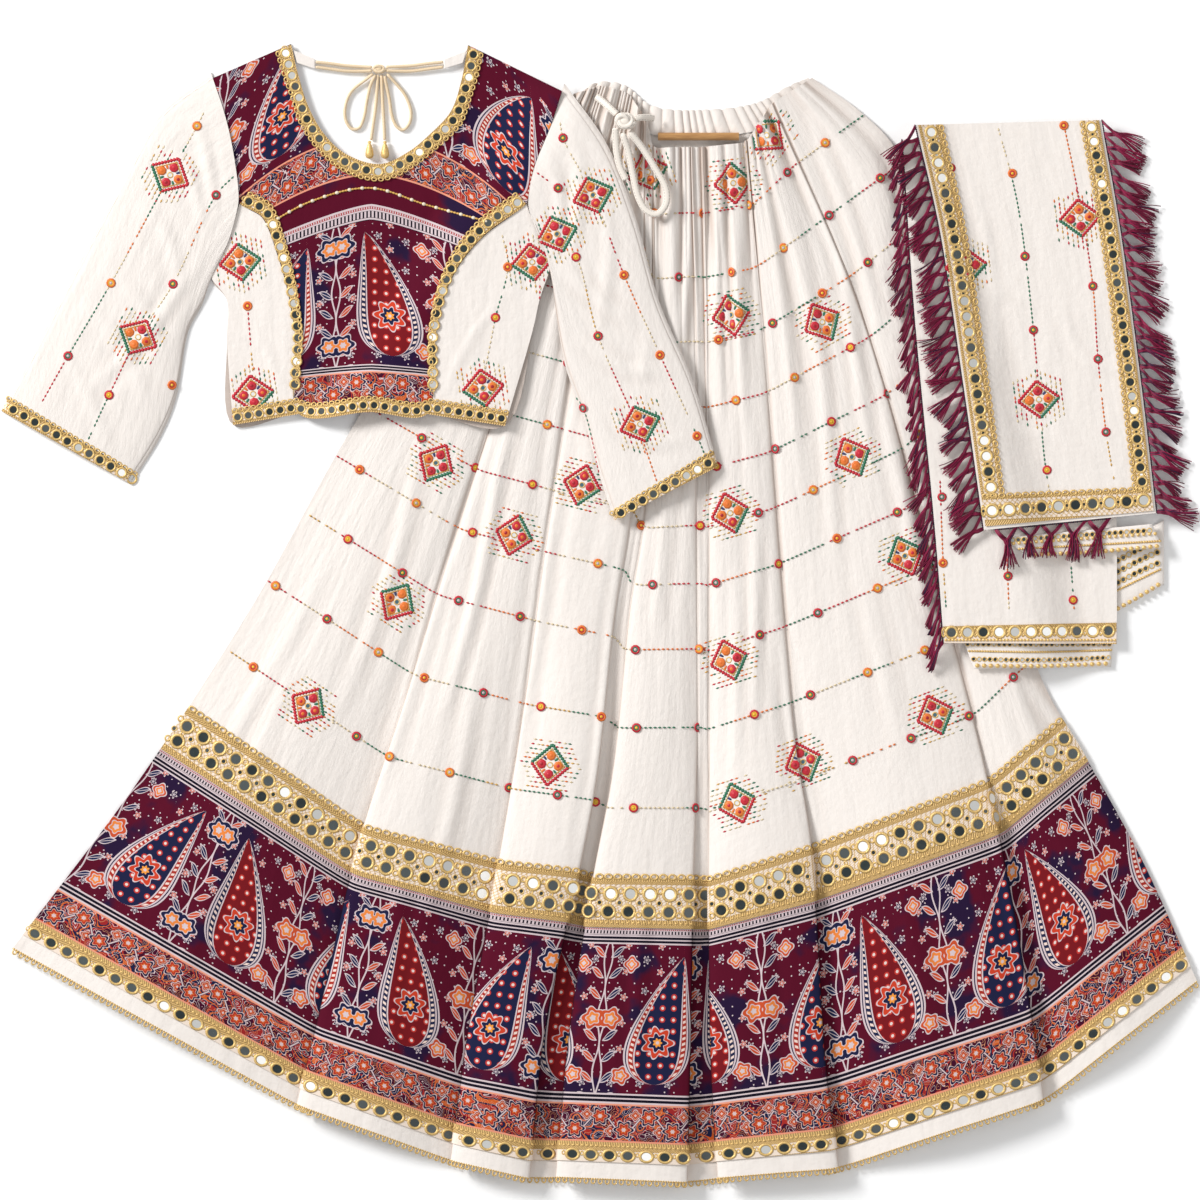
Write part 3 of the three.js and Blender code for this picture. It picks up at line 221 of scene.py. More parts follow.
# What shows on the folds under the top layer: kind, pitch, half size and route.
FOLD_ROWS = {
    "dupatta_upper": [("mirror", 5.6, 2.9, [(1004, 541), (1070, 536), (1158, 530)]),
                      ("bead", 5.6, 1.9, [(1005, 544), (1070, 539.5), (1158, 533.5)]),
                      ("cord", 2.6, 1.5, [(1018, 549), (1090, 545), (1161, 541)]),
                      ("bead", 6.4, 2.4, [(1032, 554.5), (1090, 552), (1160, 546)])],
    "dupatta_under": [("mirror", 5.2, 2.5, [(965, 644), (1040, 644.5), (1112, 644)]),
                      ("cord", 2.6, 1.4, [(968, 651), (1040, 652), (1112, 650)]),
                      ("mirror", 5.2, 2.6, [(971, 659), (1040, 660), (1111, 657.5)]),
                      ("bead", 6.6, 2.4, [(974, 665.5), (1040, 666), (1109, 663.5)])],
    "dupatta_right": [("mirror", 6.2, 3.2, [(1160, 540), (1138, 550), (1115, 562)]),
                      ("mirror", 6.2, 3.2, [(1160, 551), (1138, 561), (1115, 573)]),
                      ("mirror", 6.2, 3.2, [(1160, 562), (1138, 572), (1115, 584)]),
                      ("cord", 2.6, 1.5, [(1161, 569), (1138, 580), (1114, 592)]),
                      ("bead", 6.6, 2.4, [(1161, 583), (1140, 596), (1115, 610)])],
}
# Fringe: name, layer, edge, start and end shares, tassels, bundle width at the root, length, aim and end height.
FRINGES = [("dupatta_fringe_right", "top", "right", 0, 1, 27, 6, 44, (0.86, 0.5), 1.4),
           ("dupatta_fringe_left", "top", "left", 0, 1, 27, 6, 42, (-0.7, 0.72), 9.6),
           ("dupatta_fringe_under", "middle", "left", 0, 1, 36, 9, 38, (-0.36, 0.93), 2.2),
           ("dupatta_fringe_end", "top", "bottom", 0.06, 0.74, 5, 6, 40, (-0.08, 1), 13.2)]
FRINGE_TONES = [(0.34, 0.006, 0.07), (0.24, 0.005, 0.048), (0.14, 0.004, 0.03), (0.04, 0.008, 0.05)]
BLOUSE_LINES = {"left": [[(247.6, 306), (251, 350), (252.8, 372)]],
                "right": [[(502, 234), (507.7, 267), (495.4, 317.6), (490, 345), (485, 370)],
                          [(540, 284), (539, 305), (534, 322)]]}
PANEL_ROSETTES = {"left": [(247.6, 306)], "right": [(507.7, 267), (495.4, 317.6), (539, 305)]}
SLEEVE_LINES = {"left": [[(206, 108), (197, 126), (170, 175), (111, 283), (68, 356), (42, 402)],
                         [(234, 176), (216, 195), (173, 284), (138, 337), (109, 395), (88, 440)]],
                "right": [[(560, 122), (563, 138), (593, 195), (624, 275), (660, 355), (697, 436), (706, 458)],
                          [(548, 216), (557, 234), (576, 257), (598, 336), (636, 423), (657, 482)],
                          [(563, 372), (570, 390), (583, 408), (603, 492)], [(536, 172), (558, 188)]]}
SLEEVE_ROSETTES = {"left": [(197, 126), (111, 283), (68, 356), (216, 195), (173, 284), (109, 395), (172, 385)],
                   "right": [(563, 138), (624, 275), (660, 355), (697, 436), (576, 257), (598, 336), (583, 408),
                             (558, 188)]}


# Plan and curve helpers.
def plan(points):
    """Sheet places as points of the model, in millimetres."""
    p = np.asarray(points, float)
    z = p[:, 2] if p.shape[1] == 3 else np.zeros(len(p))
    return np.stack([p[:, 0] - SHEET[0], SHEET[1] - p[:, 1], z], axis=1)


def spline(points, where):
    """A smooth centripetal curve through points (..., n, 3), at places 0 to n - 1."""
    p = np.asarray(points, float)
    n = p.shape[-2]
    where = np.asarray(where, float)
    i = np.clip(np.floor(where).astype(int), 0, n - 2)
    w = (where - i)[:, None]
    first = 2 * p[..., :1, :] - p[..., 1:2, :]
    last = 2 * p[..., -1:, :] - p[..., -2:-1, :]
    ends = np.concatenate([first, p, last], axis=-2)
    x0, x1, x2, x3 = (ends[..., i + k, :] for k in range(4))
    d0, d1, d2 = (np.sqrt(np.maximum(np.linalg.norm(b - a, axis=-1, keepdims=True), 1e-9))
                  for a, b in ((x0, x1), (x1, x2), (x2, x3)))
    t1 = ((x1 - x0) / d0 - (x2 - x0) / (d0 + d1) + (x2 - x1) / d1) * d1
    t2 = ((x2 - x1) / d1 - (x3 - x1) / (d1 + d2) + (x3 - x2) / d2) * d1
    return x1 + t1 * w + (-3 * x1 + 3 * x2 - 2 * t1 - t2) * w ** 2 + (2 * x1 - 2 * x2 + t1 + t2) * w ** 3


def at_share(points, shares):
    """Points at even shares of a curve's knots."""
    return spline(points, np.asarray(shares, float) * (len(points) - 1))


def run_of(path):
    """Length run along a line of points."""
    steps = np.linalg.norm(np.diff(path, axis=0), axis=1)
    return np.concatenate([[0], np.cumsum(steps)])


def at_length(points, shares):
    """Points at shares of a curve's length, and the length."""
    where = np.linspace(0, len(points) - 1, 60 * (len(points) - 1) + 1)
    run = run_of(spline(points, where))
    return spline(points, np.interp(np.asarray(shares, float) * run[-1], run, where)), run[-1]


def ease(x, start, end):
    t = np.clip((np.asarray(x, float) - start) / (end - start), 0, 1)
    return t * t * (3 - 2 * t)


def mix(a, b, share):
    return a + (b - a) * share


def unit(v):
    return v / np.maximum(np.linalg.norm(v, axis=-1, keepdims=True), 1e-9)


# The skirt's surfaces.
def rail_at(index, shares):
    points = plan(RAILS[index][4])
    _, length = at_length(points, [0])
    band = RAILS[index][1]
    s = np.asarray(shares, float)
    trimmed = (s - LACE_TOP) / (1 - LACE_TOP)
    run = np.where(trimmed < 0, s / LACE_TOP * (length - band), length - band * (1 - trimmed))
    return at_length(points, np.clip(run / length, 0, 1))[0]


def fold_points(index, s):
    nose, _, opens, depth, _ = RAILS[index]
    middle = rail_at(index, s)
    across = unit(rail_at(index + 1, s) - rail_at(index - 1, s))
    is_open = ease(s, opens, opens + 0.28)[:, None]
    slim = mix(0.55, 1, ease(s, 0, 0.2))[:, None]
    turn = 1 if nose == "left" else -1
    points = []
    for crease_shift, crease_height, fold_shift, fold_height, of_depth in FOLD:
        shift = mix(crease_shift * slim, fold_shift + of_depth * depth, is_open)
        point = middle + across * turn * shift
        point[:, 2] = LOW + mix(mix(1.5, crease_height, ease(s, 0.02, 0.4)), fold_height, is_open[:, 0])
        points.append(point)
    return points if nose == "left" else points[::-1]


def front_grid(levels, finer=4):
    """The skirt front's middle surface at levels of its length: rows down, columns across."""
    s = np.asarray(levels, float)
    rails = [rail_at(i, s) for i in range(len(RAILS))]
    last = len(RAILS) - 1

    def low_side(i):
        point = rails[i].copy()
        point[:, 2] = EDGE
        return point

    stations, columns = [low_side(0)], [0]
    for i, (crown, wide) in enumerate(PANELS):
        if wide == 0:
            meeting = (rails[i] + rails[i + 1]) / 2
            meeting[:, 2] = LOW + 0.4
            stations.pop()
            columns.pop()
            columns[-1] = 1
            ends = [meeting] + fold_points(i + 1, s)[1:]
        else:
            ends = [low_side(last)] if i + 1 == last else fold_points(i + 1, s)
            middle = (stations[-1] + ends[0]) / 2
            middle[:, 2] = LOW + mix(UPPER_CROWN, crown, ease(s, 0.35, 0.8))
            columns[-1] = wide // 2
            ends = [middle] + ends
        stations += ends
        columns += [1] * len(ends)
        if wide:
            columns[len(columns) - len(ends)] = wide - wide // 2
    columns[-1] = 0
    where, coarse = [], []
    start = 0
    for k, steps in enumerate(columns[:-1]):
        cut = np.arange(steps * finer) / (steps * finer)
        where += list(k + cut)
        coarse += list(start + cut * steps)
        start += steps
    where = np.array(where + [len(stations) - 1])
    c = np.array(coarse + [start])
    surface = spline(np.stack(stations, axis=1), where)
    reach = GATHER_FADE * (0.6 + 0.4 * np.sin(c * GATHER_DRIFT))
    wave = np.abs(np.sin(np.pi * c / GATHER_COLUMNS)) - 0.4
    near_side = np.minimum(1, np.minimum(c / 2, (start - c) / 2))
    fade = 1 - ease((s[:, None] - 0.03) / (reach[None, :] - 0.03), 0, 1)
    pleat = np.abs(np.sin(np.pi * (c / 2 + 0.35 * np.sin(c * 0.9)))) - 0.5
    ends = 0.12 + 0.22 * (0.5 + 0.5 * np.sin(c * 0.61 + 1)) ** 2
    pleats = PLEAT_HEIGHT * pleat[None, :] * (1 - ease((s[:, None] - 0.01) / ends[None, :], 0, 1))
    tuck = np.abs(np.sin(np.pi * (c / 1.5 + 0.2 * np.sin(c * 1.7)))) - 0.4
    pleats += TUCK_HEIGHT * tuck[None, :] * (1 - ease(s[:, None] / (0.4 * ends[None, :]), 0.1, 1))
    surface[..., 2] += (GATHER_HEIGHT * wave[None, :] * fade + pleats) * near_side
    return surface


def crease_lift(points, creases):
    """Height that the listed creases add at each point."""
    lift = np.zeros(points.shape[:-1])
    for path, height, half in creases:
        line = plan(path)
        if len(line) > 2:
            line = at_share(line, np.linspace(0, 1, 12))
        near = np.full(lift.shape, 1e9)
        end_fade = np.zeros(lift.shape)
        total = run_of(line)
        for k in range(len(line) - 1):
            a, b = line[k, :2], line[k + 1, :2]
            reach = b - a
            t = np.clip(((points[..., :2] - a) @ reach) / (reach @ reach), 0, 1)
            d = np.linalg.norm(points[..., :2] - a - t[..., None] * reach, axis=-1)
            share = (total[k] + t * (total[k + 1] - total[k])) / total[-1]
            end_fade = np.where(d < near, np.sin(np.pi * np.clip(share, 0.02, 0.98)) ** 0.6, end_fade)
            near = np.minimum(near, d)
        lift += height * end_fade * (np.exp(-(near / half) ** 2) - 0.55 * np.exp(-((near - 1.9 * half) / half) ** 2))
    return lift


def back_grid(levels, columns=60):
    s = np.asarray(levels, float)
    inset = np.array([3.0, 0, 0])
    left, right = rail_at(0, s) + inset, rail_at(len(RAILS) - 1, s) - inset
    ends_left = rail_at(0, [0, 1]) + inset
    ends_right = rail_at(len(RAILS) - 1, [0, 1]) - inset
    u = np.linspace(0, 1, columns + 1)
    top, bottom = at_length(plan(BACK_WAIST), u)[0], at_length(plan(BACK_HEM), u)[0]
    return coons(left, right, top, bottom, ends_left, ends_right, u, s)


def coons(left, right, top, bottom, ends_left, ends_right, u, v):
    """A patch between four curves. The corners are the side curves' own ends."""
    uu, vv = u[None, :, None], v[:, None, None]
    sides = mix(left[:, None], right[:, None], uu)
    ends = mix(top[None], bottom[None], vv)
    corners = mix(mix(ends_left[0], ends_right[0], uu), mix(ends_left[1], ends_right[1], uu), vv)
    return sides + ends - corners


# What is laid on the skirt.
SKIRT_LEFT = ((575, 95), (360, 415), -56, 20)
SKIRT_RIGHT = ((1039, 673), (896, 146), -60, 20)


def bed_height(points, side):
    start, end = plan([side[0], side[1]])[:, :2]
    along = (end - start) / np.linalg.norm(end - start)
    reach = points[..., :2] - start
    inside = along[0] * reach[..., 1] - along[1] * reach[..., 0]
    return ON_SKIRT * ease(inside, side[2], side[3])


def parting(height):
    share = height / ON_SKIRT
    return PARTING * 4 * share * (1 - share)


def patch_grid(paths, across, down, height_of):
    """A patch between a left and a right path, with a bowed top path where a third is given."""
    left, right = plan(paths[0]), plan(paths[1])
    top = plan(paths[2]) if len(paths) > 2 else plan([paths[0][0], paths[1][0]])
    bottom = plan([paths[0][-1], paths[1][-1]])
    u, v = np.asarray(across, float), np.asarray(down, float)
    surface = coons(at_share(left, v), at_share(right, v), at_share(top, u), at_share(bottom, u),
                    left[[0, -1]], right[[0, -1]], u, v)
    surface[..., 2] = height_of(surface, u[None, :], v[:, None])
    return surface


def on_skirt_left(p, u=0, v=0):
    return bed_height(p, SKIRT_LEFT)


def on_skirt_right(p, u=0, v=0):
    return bed_height(p, SKIRT_RIGHT)


def front_height(p, u=0, v=0):
    """Underside of the blouse's front."""
    off = (p[..., 0] - (370 - SHEET[0])) / 175
    bed = on_skirt_left(p)
    return bed + parting(bed) + WALL + 0.3 + 2.2 * np.maximum(0, 1 - off * off)


def horseshoe(edge, across, down, height_of):
    """A surface between the neckline and an outer edge. down is one list of shares, or a row of them per column."""
    u = np.asarray(across, float)
    inner, outer = at_share(plan(NECK), u), at_share(plan(edge), u)
    down = np.asarray(down, float)
    if down.ndim == 1:
        down = np.repeat(down[:, None], len(u), axis=1)
    surface = mix(inner[None], outer[None], down[..., None])
    surface[..., 2] = height_of(surface)
    return surface


def sleeve_grid(side, down):
    """A flattened tube: rows along the sleeve, columns round it, starting and ending at its outer edge."""
    ring = plan([(SHEET[0] + a, SHEET[1] - h) for a, h in RING + RING[:1]])
    round_where = np.linspace(0, len(ring) - 1, 8 * (len(ring) - 1) + 1)
    section = spline(ring, round_where)
    u, height = section[:, 0], section[:, 1]
    surface = patch_grid(SLEEVES[side], u, down, on_skirt_left)
    wrinkle = crease_lift(surface, BLOUSE_CREASES) * ease(height, 3.5, 6)[None, :]
    surface[..., 2] += 0.3 + np.maximum(height, 0)[None, :] + wrinkle
    return surface


def normals_of(surface):
    down = np.gradient(surface, axis=0)
    across = np.gradient(surface, axis=1)
    return unit(np.cross(down, across))


class Surface:
    """A grid of points with normals, read between its points at (row, column) places."""

    def __init__(self, points, lift=0.0, levels=None):
        self.normal = normals_of(points)
        self.points = points + self.normal * lift
        self.levels = np.asarray(levels if levels is not None else np.arange(len(points)), float)
        steps = np.linalg.norm(np.diff(self.points, axis=1), axis=2)
        self.run = np.concatenate([np.zeros((len(points), 1)), np.cumsum(steps, axis=1)], axis=1)

    def read(self, field, row, column):
        rows, columns = field.shape[:2]
        r, c = np.clip(row, 0, rows - 1.001), np.clip(column, 0, columns - 1.001)
        i, j = np.floor(r).astype(int), np.floor(c).astype(int)
        a, b = (r - i)[..., None], (c - j)[..., None]
        return mix(mix(field[i, j], field[i, j + 1], b), mix(field[i + 1, j], field[i + 1, j + 1], b), a)

    def column_at(self, row, run):
        """Column where a row has run a length."""
        near = self.run[int(np.clip(round(row), 0, len(self.run) - 1))]
        return np.interp(run, near, np.arange(len(near)))

    def spots(self, level, pitch, phase=0.5):
        """Evenly spaced places along one level: points, normals and directions along the row."""
        row = float(np.interp(level, self.levels, np.arange(len(self.levels))))
        total = self.run[int(np.clip(round(row), 0, len(self.run) - 1))][-1]
        number = max(1, int(round(total / pitch)))
        column = self.column_at(row, (np.arange(number) + phase) * total / number)
        return self.frames(np.full(number, row), column)

    def strip_spots(self, share, pitch, phase=0.5):
        """Places along a strip, at a share of its width. All shares of one pitch line up."""
        middle = len(self.points) // 2
        total = self.run[middle][-1]
        number = max(1, int(round(total / pitch)))
        column = self.column_at(middle, (np.arange(number) + phase) * total / number)
        return self.frames(np.full(number, share * (len(self.points) - 1)), column)

    def frames(self, rows, columns):
        rows, columns = np.asarray(rows, float), np.asarray(columns, float)
        point = self.read(self.points, rows, columns)
        normal = unit(self.read(self.normal, rows, columns))
        along = unit(self.read(self.points, rows, columns + 0.5) - self.read(self.points, rows, columns - 0.5))
        return point, normal, along


# Meshes.
def new_piece(name, mesh, materials, nodes=()):
    """A visible piece with its materials, in place of the CAD nodes it stands for."""
    piece = bpy.data.objects.new(name, mesh)
    bpy.context.scene.collection.objects.link(piece)
    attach(piece, "root")
    for material in materials:
        mesh.materials.append(material)
    if nodes:
        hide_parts(*nodes)
    return piece


def smooth(mesh):
    mesh.polygons.foreach_set("use_smooth", np.ones(len(mesh.polygons), bool))


def mesh_of(bm, name):
    mesh = bpy.data.meshes.new(name)
    bm.to_mesh(mesh)
    bm.free()
    return mesh


def paint(mesh, name, colours):
    """Stores a colour for each point of a mesh."""
    rgba = np.ones((len(mesh.vertices), 4), np.float32)
    rgba[:, :3] = colours
    mesh.color_attributes.new(name, "FLOAT_COLOR", "POINT").data.foreach_set("color", rgba.ravel())


def flat_uv(bm):
    """UVs of a piece that lies flat: millimetres in plan."""
    layer = bm.loops.layers.uv.new("Cloth")
    for face in bm.faces:
        for loop in face.loops:
            loop[layer].uv = (loop.vert.co.x / MM, loop.vert.co.y / MM)


def set_uv(mesh, uv):
    layer = mesh.uv_layers.new(name="Cloth")
    index = np.zeros(len(mesh.loops), np.int32)
    mesh.loops.foreach_get("vertex_index", index)
    layer.data.foreach_set("uv", uv[index].astype(np.float32).ravel())


def grid_mesh(name, surface, uv=None):
    """A sheet's mesh from its points. UVs are millimetres: across and down."""
    rows, columns = surface.shape[:2]
    bm = bmesh.new()
    bmesh.ops.create_grid(bm, x_segments=columns - 1, y_segments=rows - 1, size=1)
    for edge in bm.edges:
        edge.smooth = not edge.is_boundary
    mesh = mesh_of(bm, name)
    if len(mesh.vertices) != rows * columns:
        raise RuntimeError(f"{name}: the grid has {len(mesh.vertices)} points, not {rows * columns}")
    mesh.vertices.foreach_set("co", (surface[::-1].reshape(-1, 3) * MM).astype(np.float32).ravel())
    if uv is None:
        down = np.linalg.norm(np.diff(surface, axis=0), axis=2)
        v = np.concatenate([np.zeros((1, columns)), np.cumsum(down, axis=0)])
        across = np.linalg.norm(np.diff(surface, axis=1), axis=2)
        u = np.concatenate([np.zeros((rows, 1)), np.cumsum(across, axis=1)], axis=1)
        uv = np.stack([u, v], axis=2)
    set_uv(mesh, uv[::-1].reshape(-1, 2))
    mesh.update()
    smooth(mesh)
    return mesh


def flat_size(surface):
    """The cut of a sheet: mean width and length of its threads, in metres."""
    across = np.linalg.norm(np.diff(surface, axis=1), axis=2).sum(axis=1)
    down = np.linalg.norm(np.diff(surface, axis=0), axis=2).sum(axis=0)
    return float(across.mean() * MM), float(down.mean() * MM)


def painted_fold_shade(surface):
    """Painted shade for the folds, 0 to 1: how far each point lies in a fold, low against its neighbours along the
    row, or on a steep side.
    """
    steps = np.linalg.norm(np.diff(surface, axis=1), axis=2)
    run = np.concatenate([np.zeros((len(surface), 1)), np.cumsum(steps, axis=1)], axis=1)
    z = surface[..., 2]
    low = np.zeros(z.shape)
    for k in range(len(z)):
        total = np.concatenate([[0], np.cumsum((z[k, 1:] + z[k, :-1]) / 2 * np.diff(run[k]))])
        for reach, deep in FOLD_SHADE_SCALES:
            a, b = np.clip(run[k] - reach, 0, run[k][-1]), np.clip(run[k] + reach, 0, run[k][-1])
            mean = (np.interp(b, run[k], total) - np.interp(a, run[k], total)) / np.maximum(b - a, 1e-6)
            low[k] = np.maximum(low[k], np.clip((mean - z[k]) / deep, 0, 1))
    steep = np.clip((0.96 - np.abs(normals_of(surface)[..., 2])) * 1.6, 0, 1)
    return np.clip(low * 0.85 + steep * 0.9, 0, 1)


def cloth_area(surface):
    """The area of a sheet's middle surface, in square metres."""
    a, b = surface[1:, 1:] - surface[:-1, :-1], surface[1:, :-1] - surface[:-1, 1:]
    return float(np.linalg.norm(np.cross(a, b), axis=2).sum() / 2 * MM * MM)


def cloth(name, surface, material, nodes, uv=None, wall=WALL, offset=0.0):
    """A thin shell of cloth that stands for CAD nodes."""
    piece = new_piece(name, grid_mesh(name, surface, uv), [material], nodes)
    # Painted shade: each point carries how deep it lies in a fold, and the cloth's finish darkens its colour there.
    paint(piece.data, "Fold", painted_fold_shade(surface)[::-1].reshape(-1, 1))
    shell = piece.modifiers.new("Wall", "SOLIDIFY")
    shell.thickness = wall * MM
    shell.offset = offset
    shell.use_even_offset = False
    width, length = flat_size(surface)
    shaped = cloth_area(surface) if cloth_area(surface) < width * length else None
    return piece


def template(build):
    """A small shape made once: its points, faces, and a material number for each face."""
    bm = bmesh.new()
    build(bm)
    bmesh.ops.recalc_face_normals(bm, faces=bm.faces)
    bm.verts.index_update()
    points = np.array([v.co[:] for v in bm.verts])
    faces = [[v.index for v in f.verts] for f in bm.faces]
    marks = [f.material_index for f in bm.faces]
    bm.free()
    return points, faces, marks


def stamp(name, shape, frames, sizes, materials, tones=None, lift=0.0):
    """Many copies of a small shape in one mesh. frames are points, normals and directions, in millimetres."""
    points, faces, marks = shape
    origin, up, along = frames
    along = unit(along - up * np.sum(along * up, axis=1, keepdims=True))
    side = np.cross(up, along)
    count = len(origin)
    sizes = np.broadcast_to(np.asarray(sizes, float), (count, 3))
    local = points[None] * sizes[:, None, :]
    co = (origin + up * lift)[:, None] + (local[..., 0:1] * along[:, None] + local[..., 1:2] * side[:, None]
                                          + local[..., 2:3] * up[:, None])
    mesh = bpy.data.meshes.new(name)
    n = len(points)
    all_faces = [[v + k * n for v in face] for k in range(count) for face in faces]
    mesh.from_pydata((co.reshape(-1, 3) * MM).tolist(), [], all_faces)
    mesh.polygons.foreach_set("material_index", np.tile(marks, count).astype(np.int32))
    if tones is not None:
        paint(mesh, "Tone", np.repeat(tones, n, axis=0))
    mesh.update()
    smooth(mesh)
    return new_piece(name, mesh, materials)


def joined(frames):
    return tuple(np.concatenate([f[k] for f in frames]) for k in range(3))


def kept(frames, mask):
    return tuple(f[mask] for f in frames)


def tube_mesh(name, path, radius, around=12, plies=0, lay=3.0, squash=1.0):
    """A cord's tube with closed ends. plies twist round it, one turn in lay diameters."""
    rows = len(path)
    run = run_of(path)
    along = unit(np.gradient(path, axis=0))
    side = unit(np.cross(along, np.array([0, 0, 1.0])))
    up = np.cross(side, along)
    angle = np.linspace(0, 2 * np.pi, around, endpoint=False)
    turn = angle[None, :] - 2 * np.pi * run[:, None] / (lay * 2 * radius)
    swell = 1 + (0.13 * np.abs(np.sin(plies * turn / 2)) - 0.07 if plies else 0)
    taper = np.ones(rows)
    taper[[0, -1]] = 0.55
    r = radius * swell * taper[:, None] * np.ones((rows, around))
    sideways = (np.cos(angle)[None, :] * r)[..., None] * side[:, None]
    co = path[:, None] + sideways + (np.sin(angle)[None, :] * r * squash)[..., None] * up[:, None]
    bm = bmesh.new()
    bmesh.ops.create_grid(bm, x_segments=around, y_segments=rows - 1, size=1)
    bm.verts.ensure_lookup_table()
    closed = np.concatenate([co, co[:, :1]], axis=1).reshape(-1, 3) * MM
    for vert, place in zip(bm.verts, closed):
        vert.co = place
    layer = bm.loops.layers.uv.new("Cloth")
    turns = np.linspace(0, 2 * np.pi * radius, around + 1)
    for face in bm.faces:
        for loop in face.loops:
            r_index, a_index = divmod(loop.vert.index, around + 1)
            loop[layer].uv = (turns[a_index], run[r_index])
    bmesh.ops.remove_doubles(bm, verts=bm.verts, dist=1e-7)
    bmesh.ops.holes_fill(bm, edges=[e for e in bm.edges if e.is_boundary])
    bmesh.ops.recalc_face_normals(bm, faces=bm.faces)
    mesh = mesh_of(bm, name)
    smooth(mesh)
    return mesh


# Small shapes for the trims, in units of their half size.
def mirror_shape(bm):
    """A slightly domed mirror in a ring of thread."""
    bmesh.ops.create_circle(bm, cap_ends=True, segments=12, radius=0.74)
    top = bmesh.ops.inset_region(bm, faces=bm.faces[:], thickness=0.16)
    for face in bm.faces:
        face.material_index = 0
    bmesh.ops.translate(bm, verts=bm.verts[:], vec=(0, 0, 0.1))
    for face in bm.faces:
        if face not in top["faces"]:
            bmesh.ops.translate(bm, verts=face.verts, vec=(0, 0, 0.05))
            break
    ring_shape(bm, 14, 0.2, 5)


def ring_shape(bm, steps=12, thick=0.17, sides=4):
    """A ring of outer radius 1, on material 1."""
    turned = Matrix.Translation((1 - thick, 0, thick * 0.6)) @ Matrix.Rotation(math.pi / 2, 4, "X")
    made = bmesh.ops.create_circle(bm, segments=sides, radius=thick, matrix=turned)["verts"]
    edges = list({e for v in made for e in v.link_edges})
    before = set(bm.faces)
    bmesh.ops.spin(bm, geom=made + edges, cent=(0, 0, 0), axis=(0, 0, 1), angle=2 * math.pi, steps=steps,
                   use_merge=True)
    for face in set(bm.faces) - before:
        face.material_index = 1


def lone_ring_shape(bm):
    ring_shape(bm, 10, 0.26, 4)
    for face in bm.faces:
        face.material_index = 0


def bead_shape(bm):
    bmesh.ops.create_uvsphere(bm, u_segments=8, v_segments=5, radius=1)


def stitch_shape(bm):
    """One stitch: a short double-pointed thread."""
    bmesh.ops.create_uvsphere(bm, u_segments=4, v_segments=2, radius=1, matrix=Matrix.Rotation(math.pi / 2, 4, "Y"))


def thread_shape(bm):
    """A tapering thread from 0 to 1 along Z, closed at its tip."""
    bmesh.ops.create_circle(bm, segments=3, radius=1, cap_ends=True)
    face = bm.faces[:]
    for _ in range(7):
        grown = bmesh.ops.extrude_face_region(bm, geom=face)
        face = [g for g in grown["geom"] if isinstance(g, bmesh.types.BMFace)]
        verts = [g for g in grown["geom"] if isinstance(g, bmesh.types.BMVert)]
        bmesh.ops.translate(bm, verts=verts, vec=(0, 0, 1 / 7))
        bmesh.ops.scale(bm, verts=verts, vec=(0.97, 0.97, 1))


# Half the length and width of a stitched diamond, and how far from its middle rows, eyes and lines stop.
DIAMOND = (18.5, 20.5)
ROW_CLEAR, EYE_CLEAR, LINE_CLEAR = 20, 26, 21


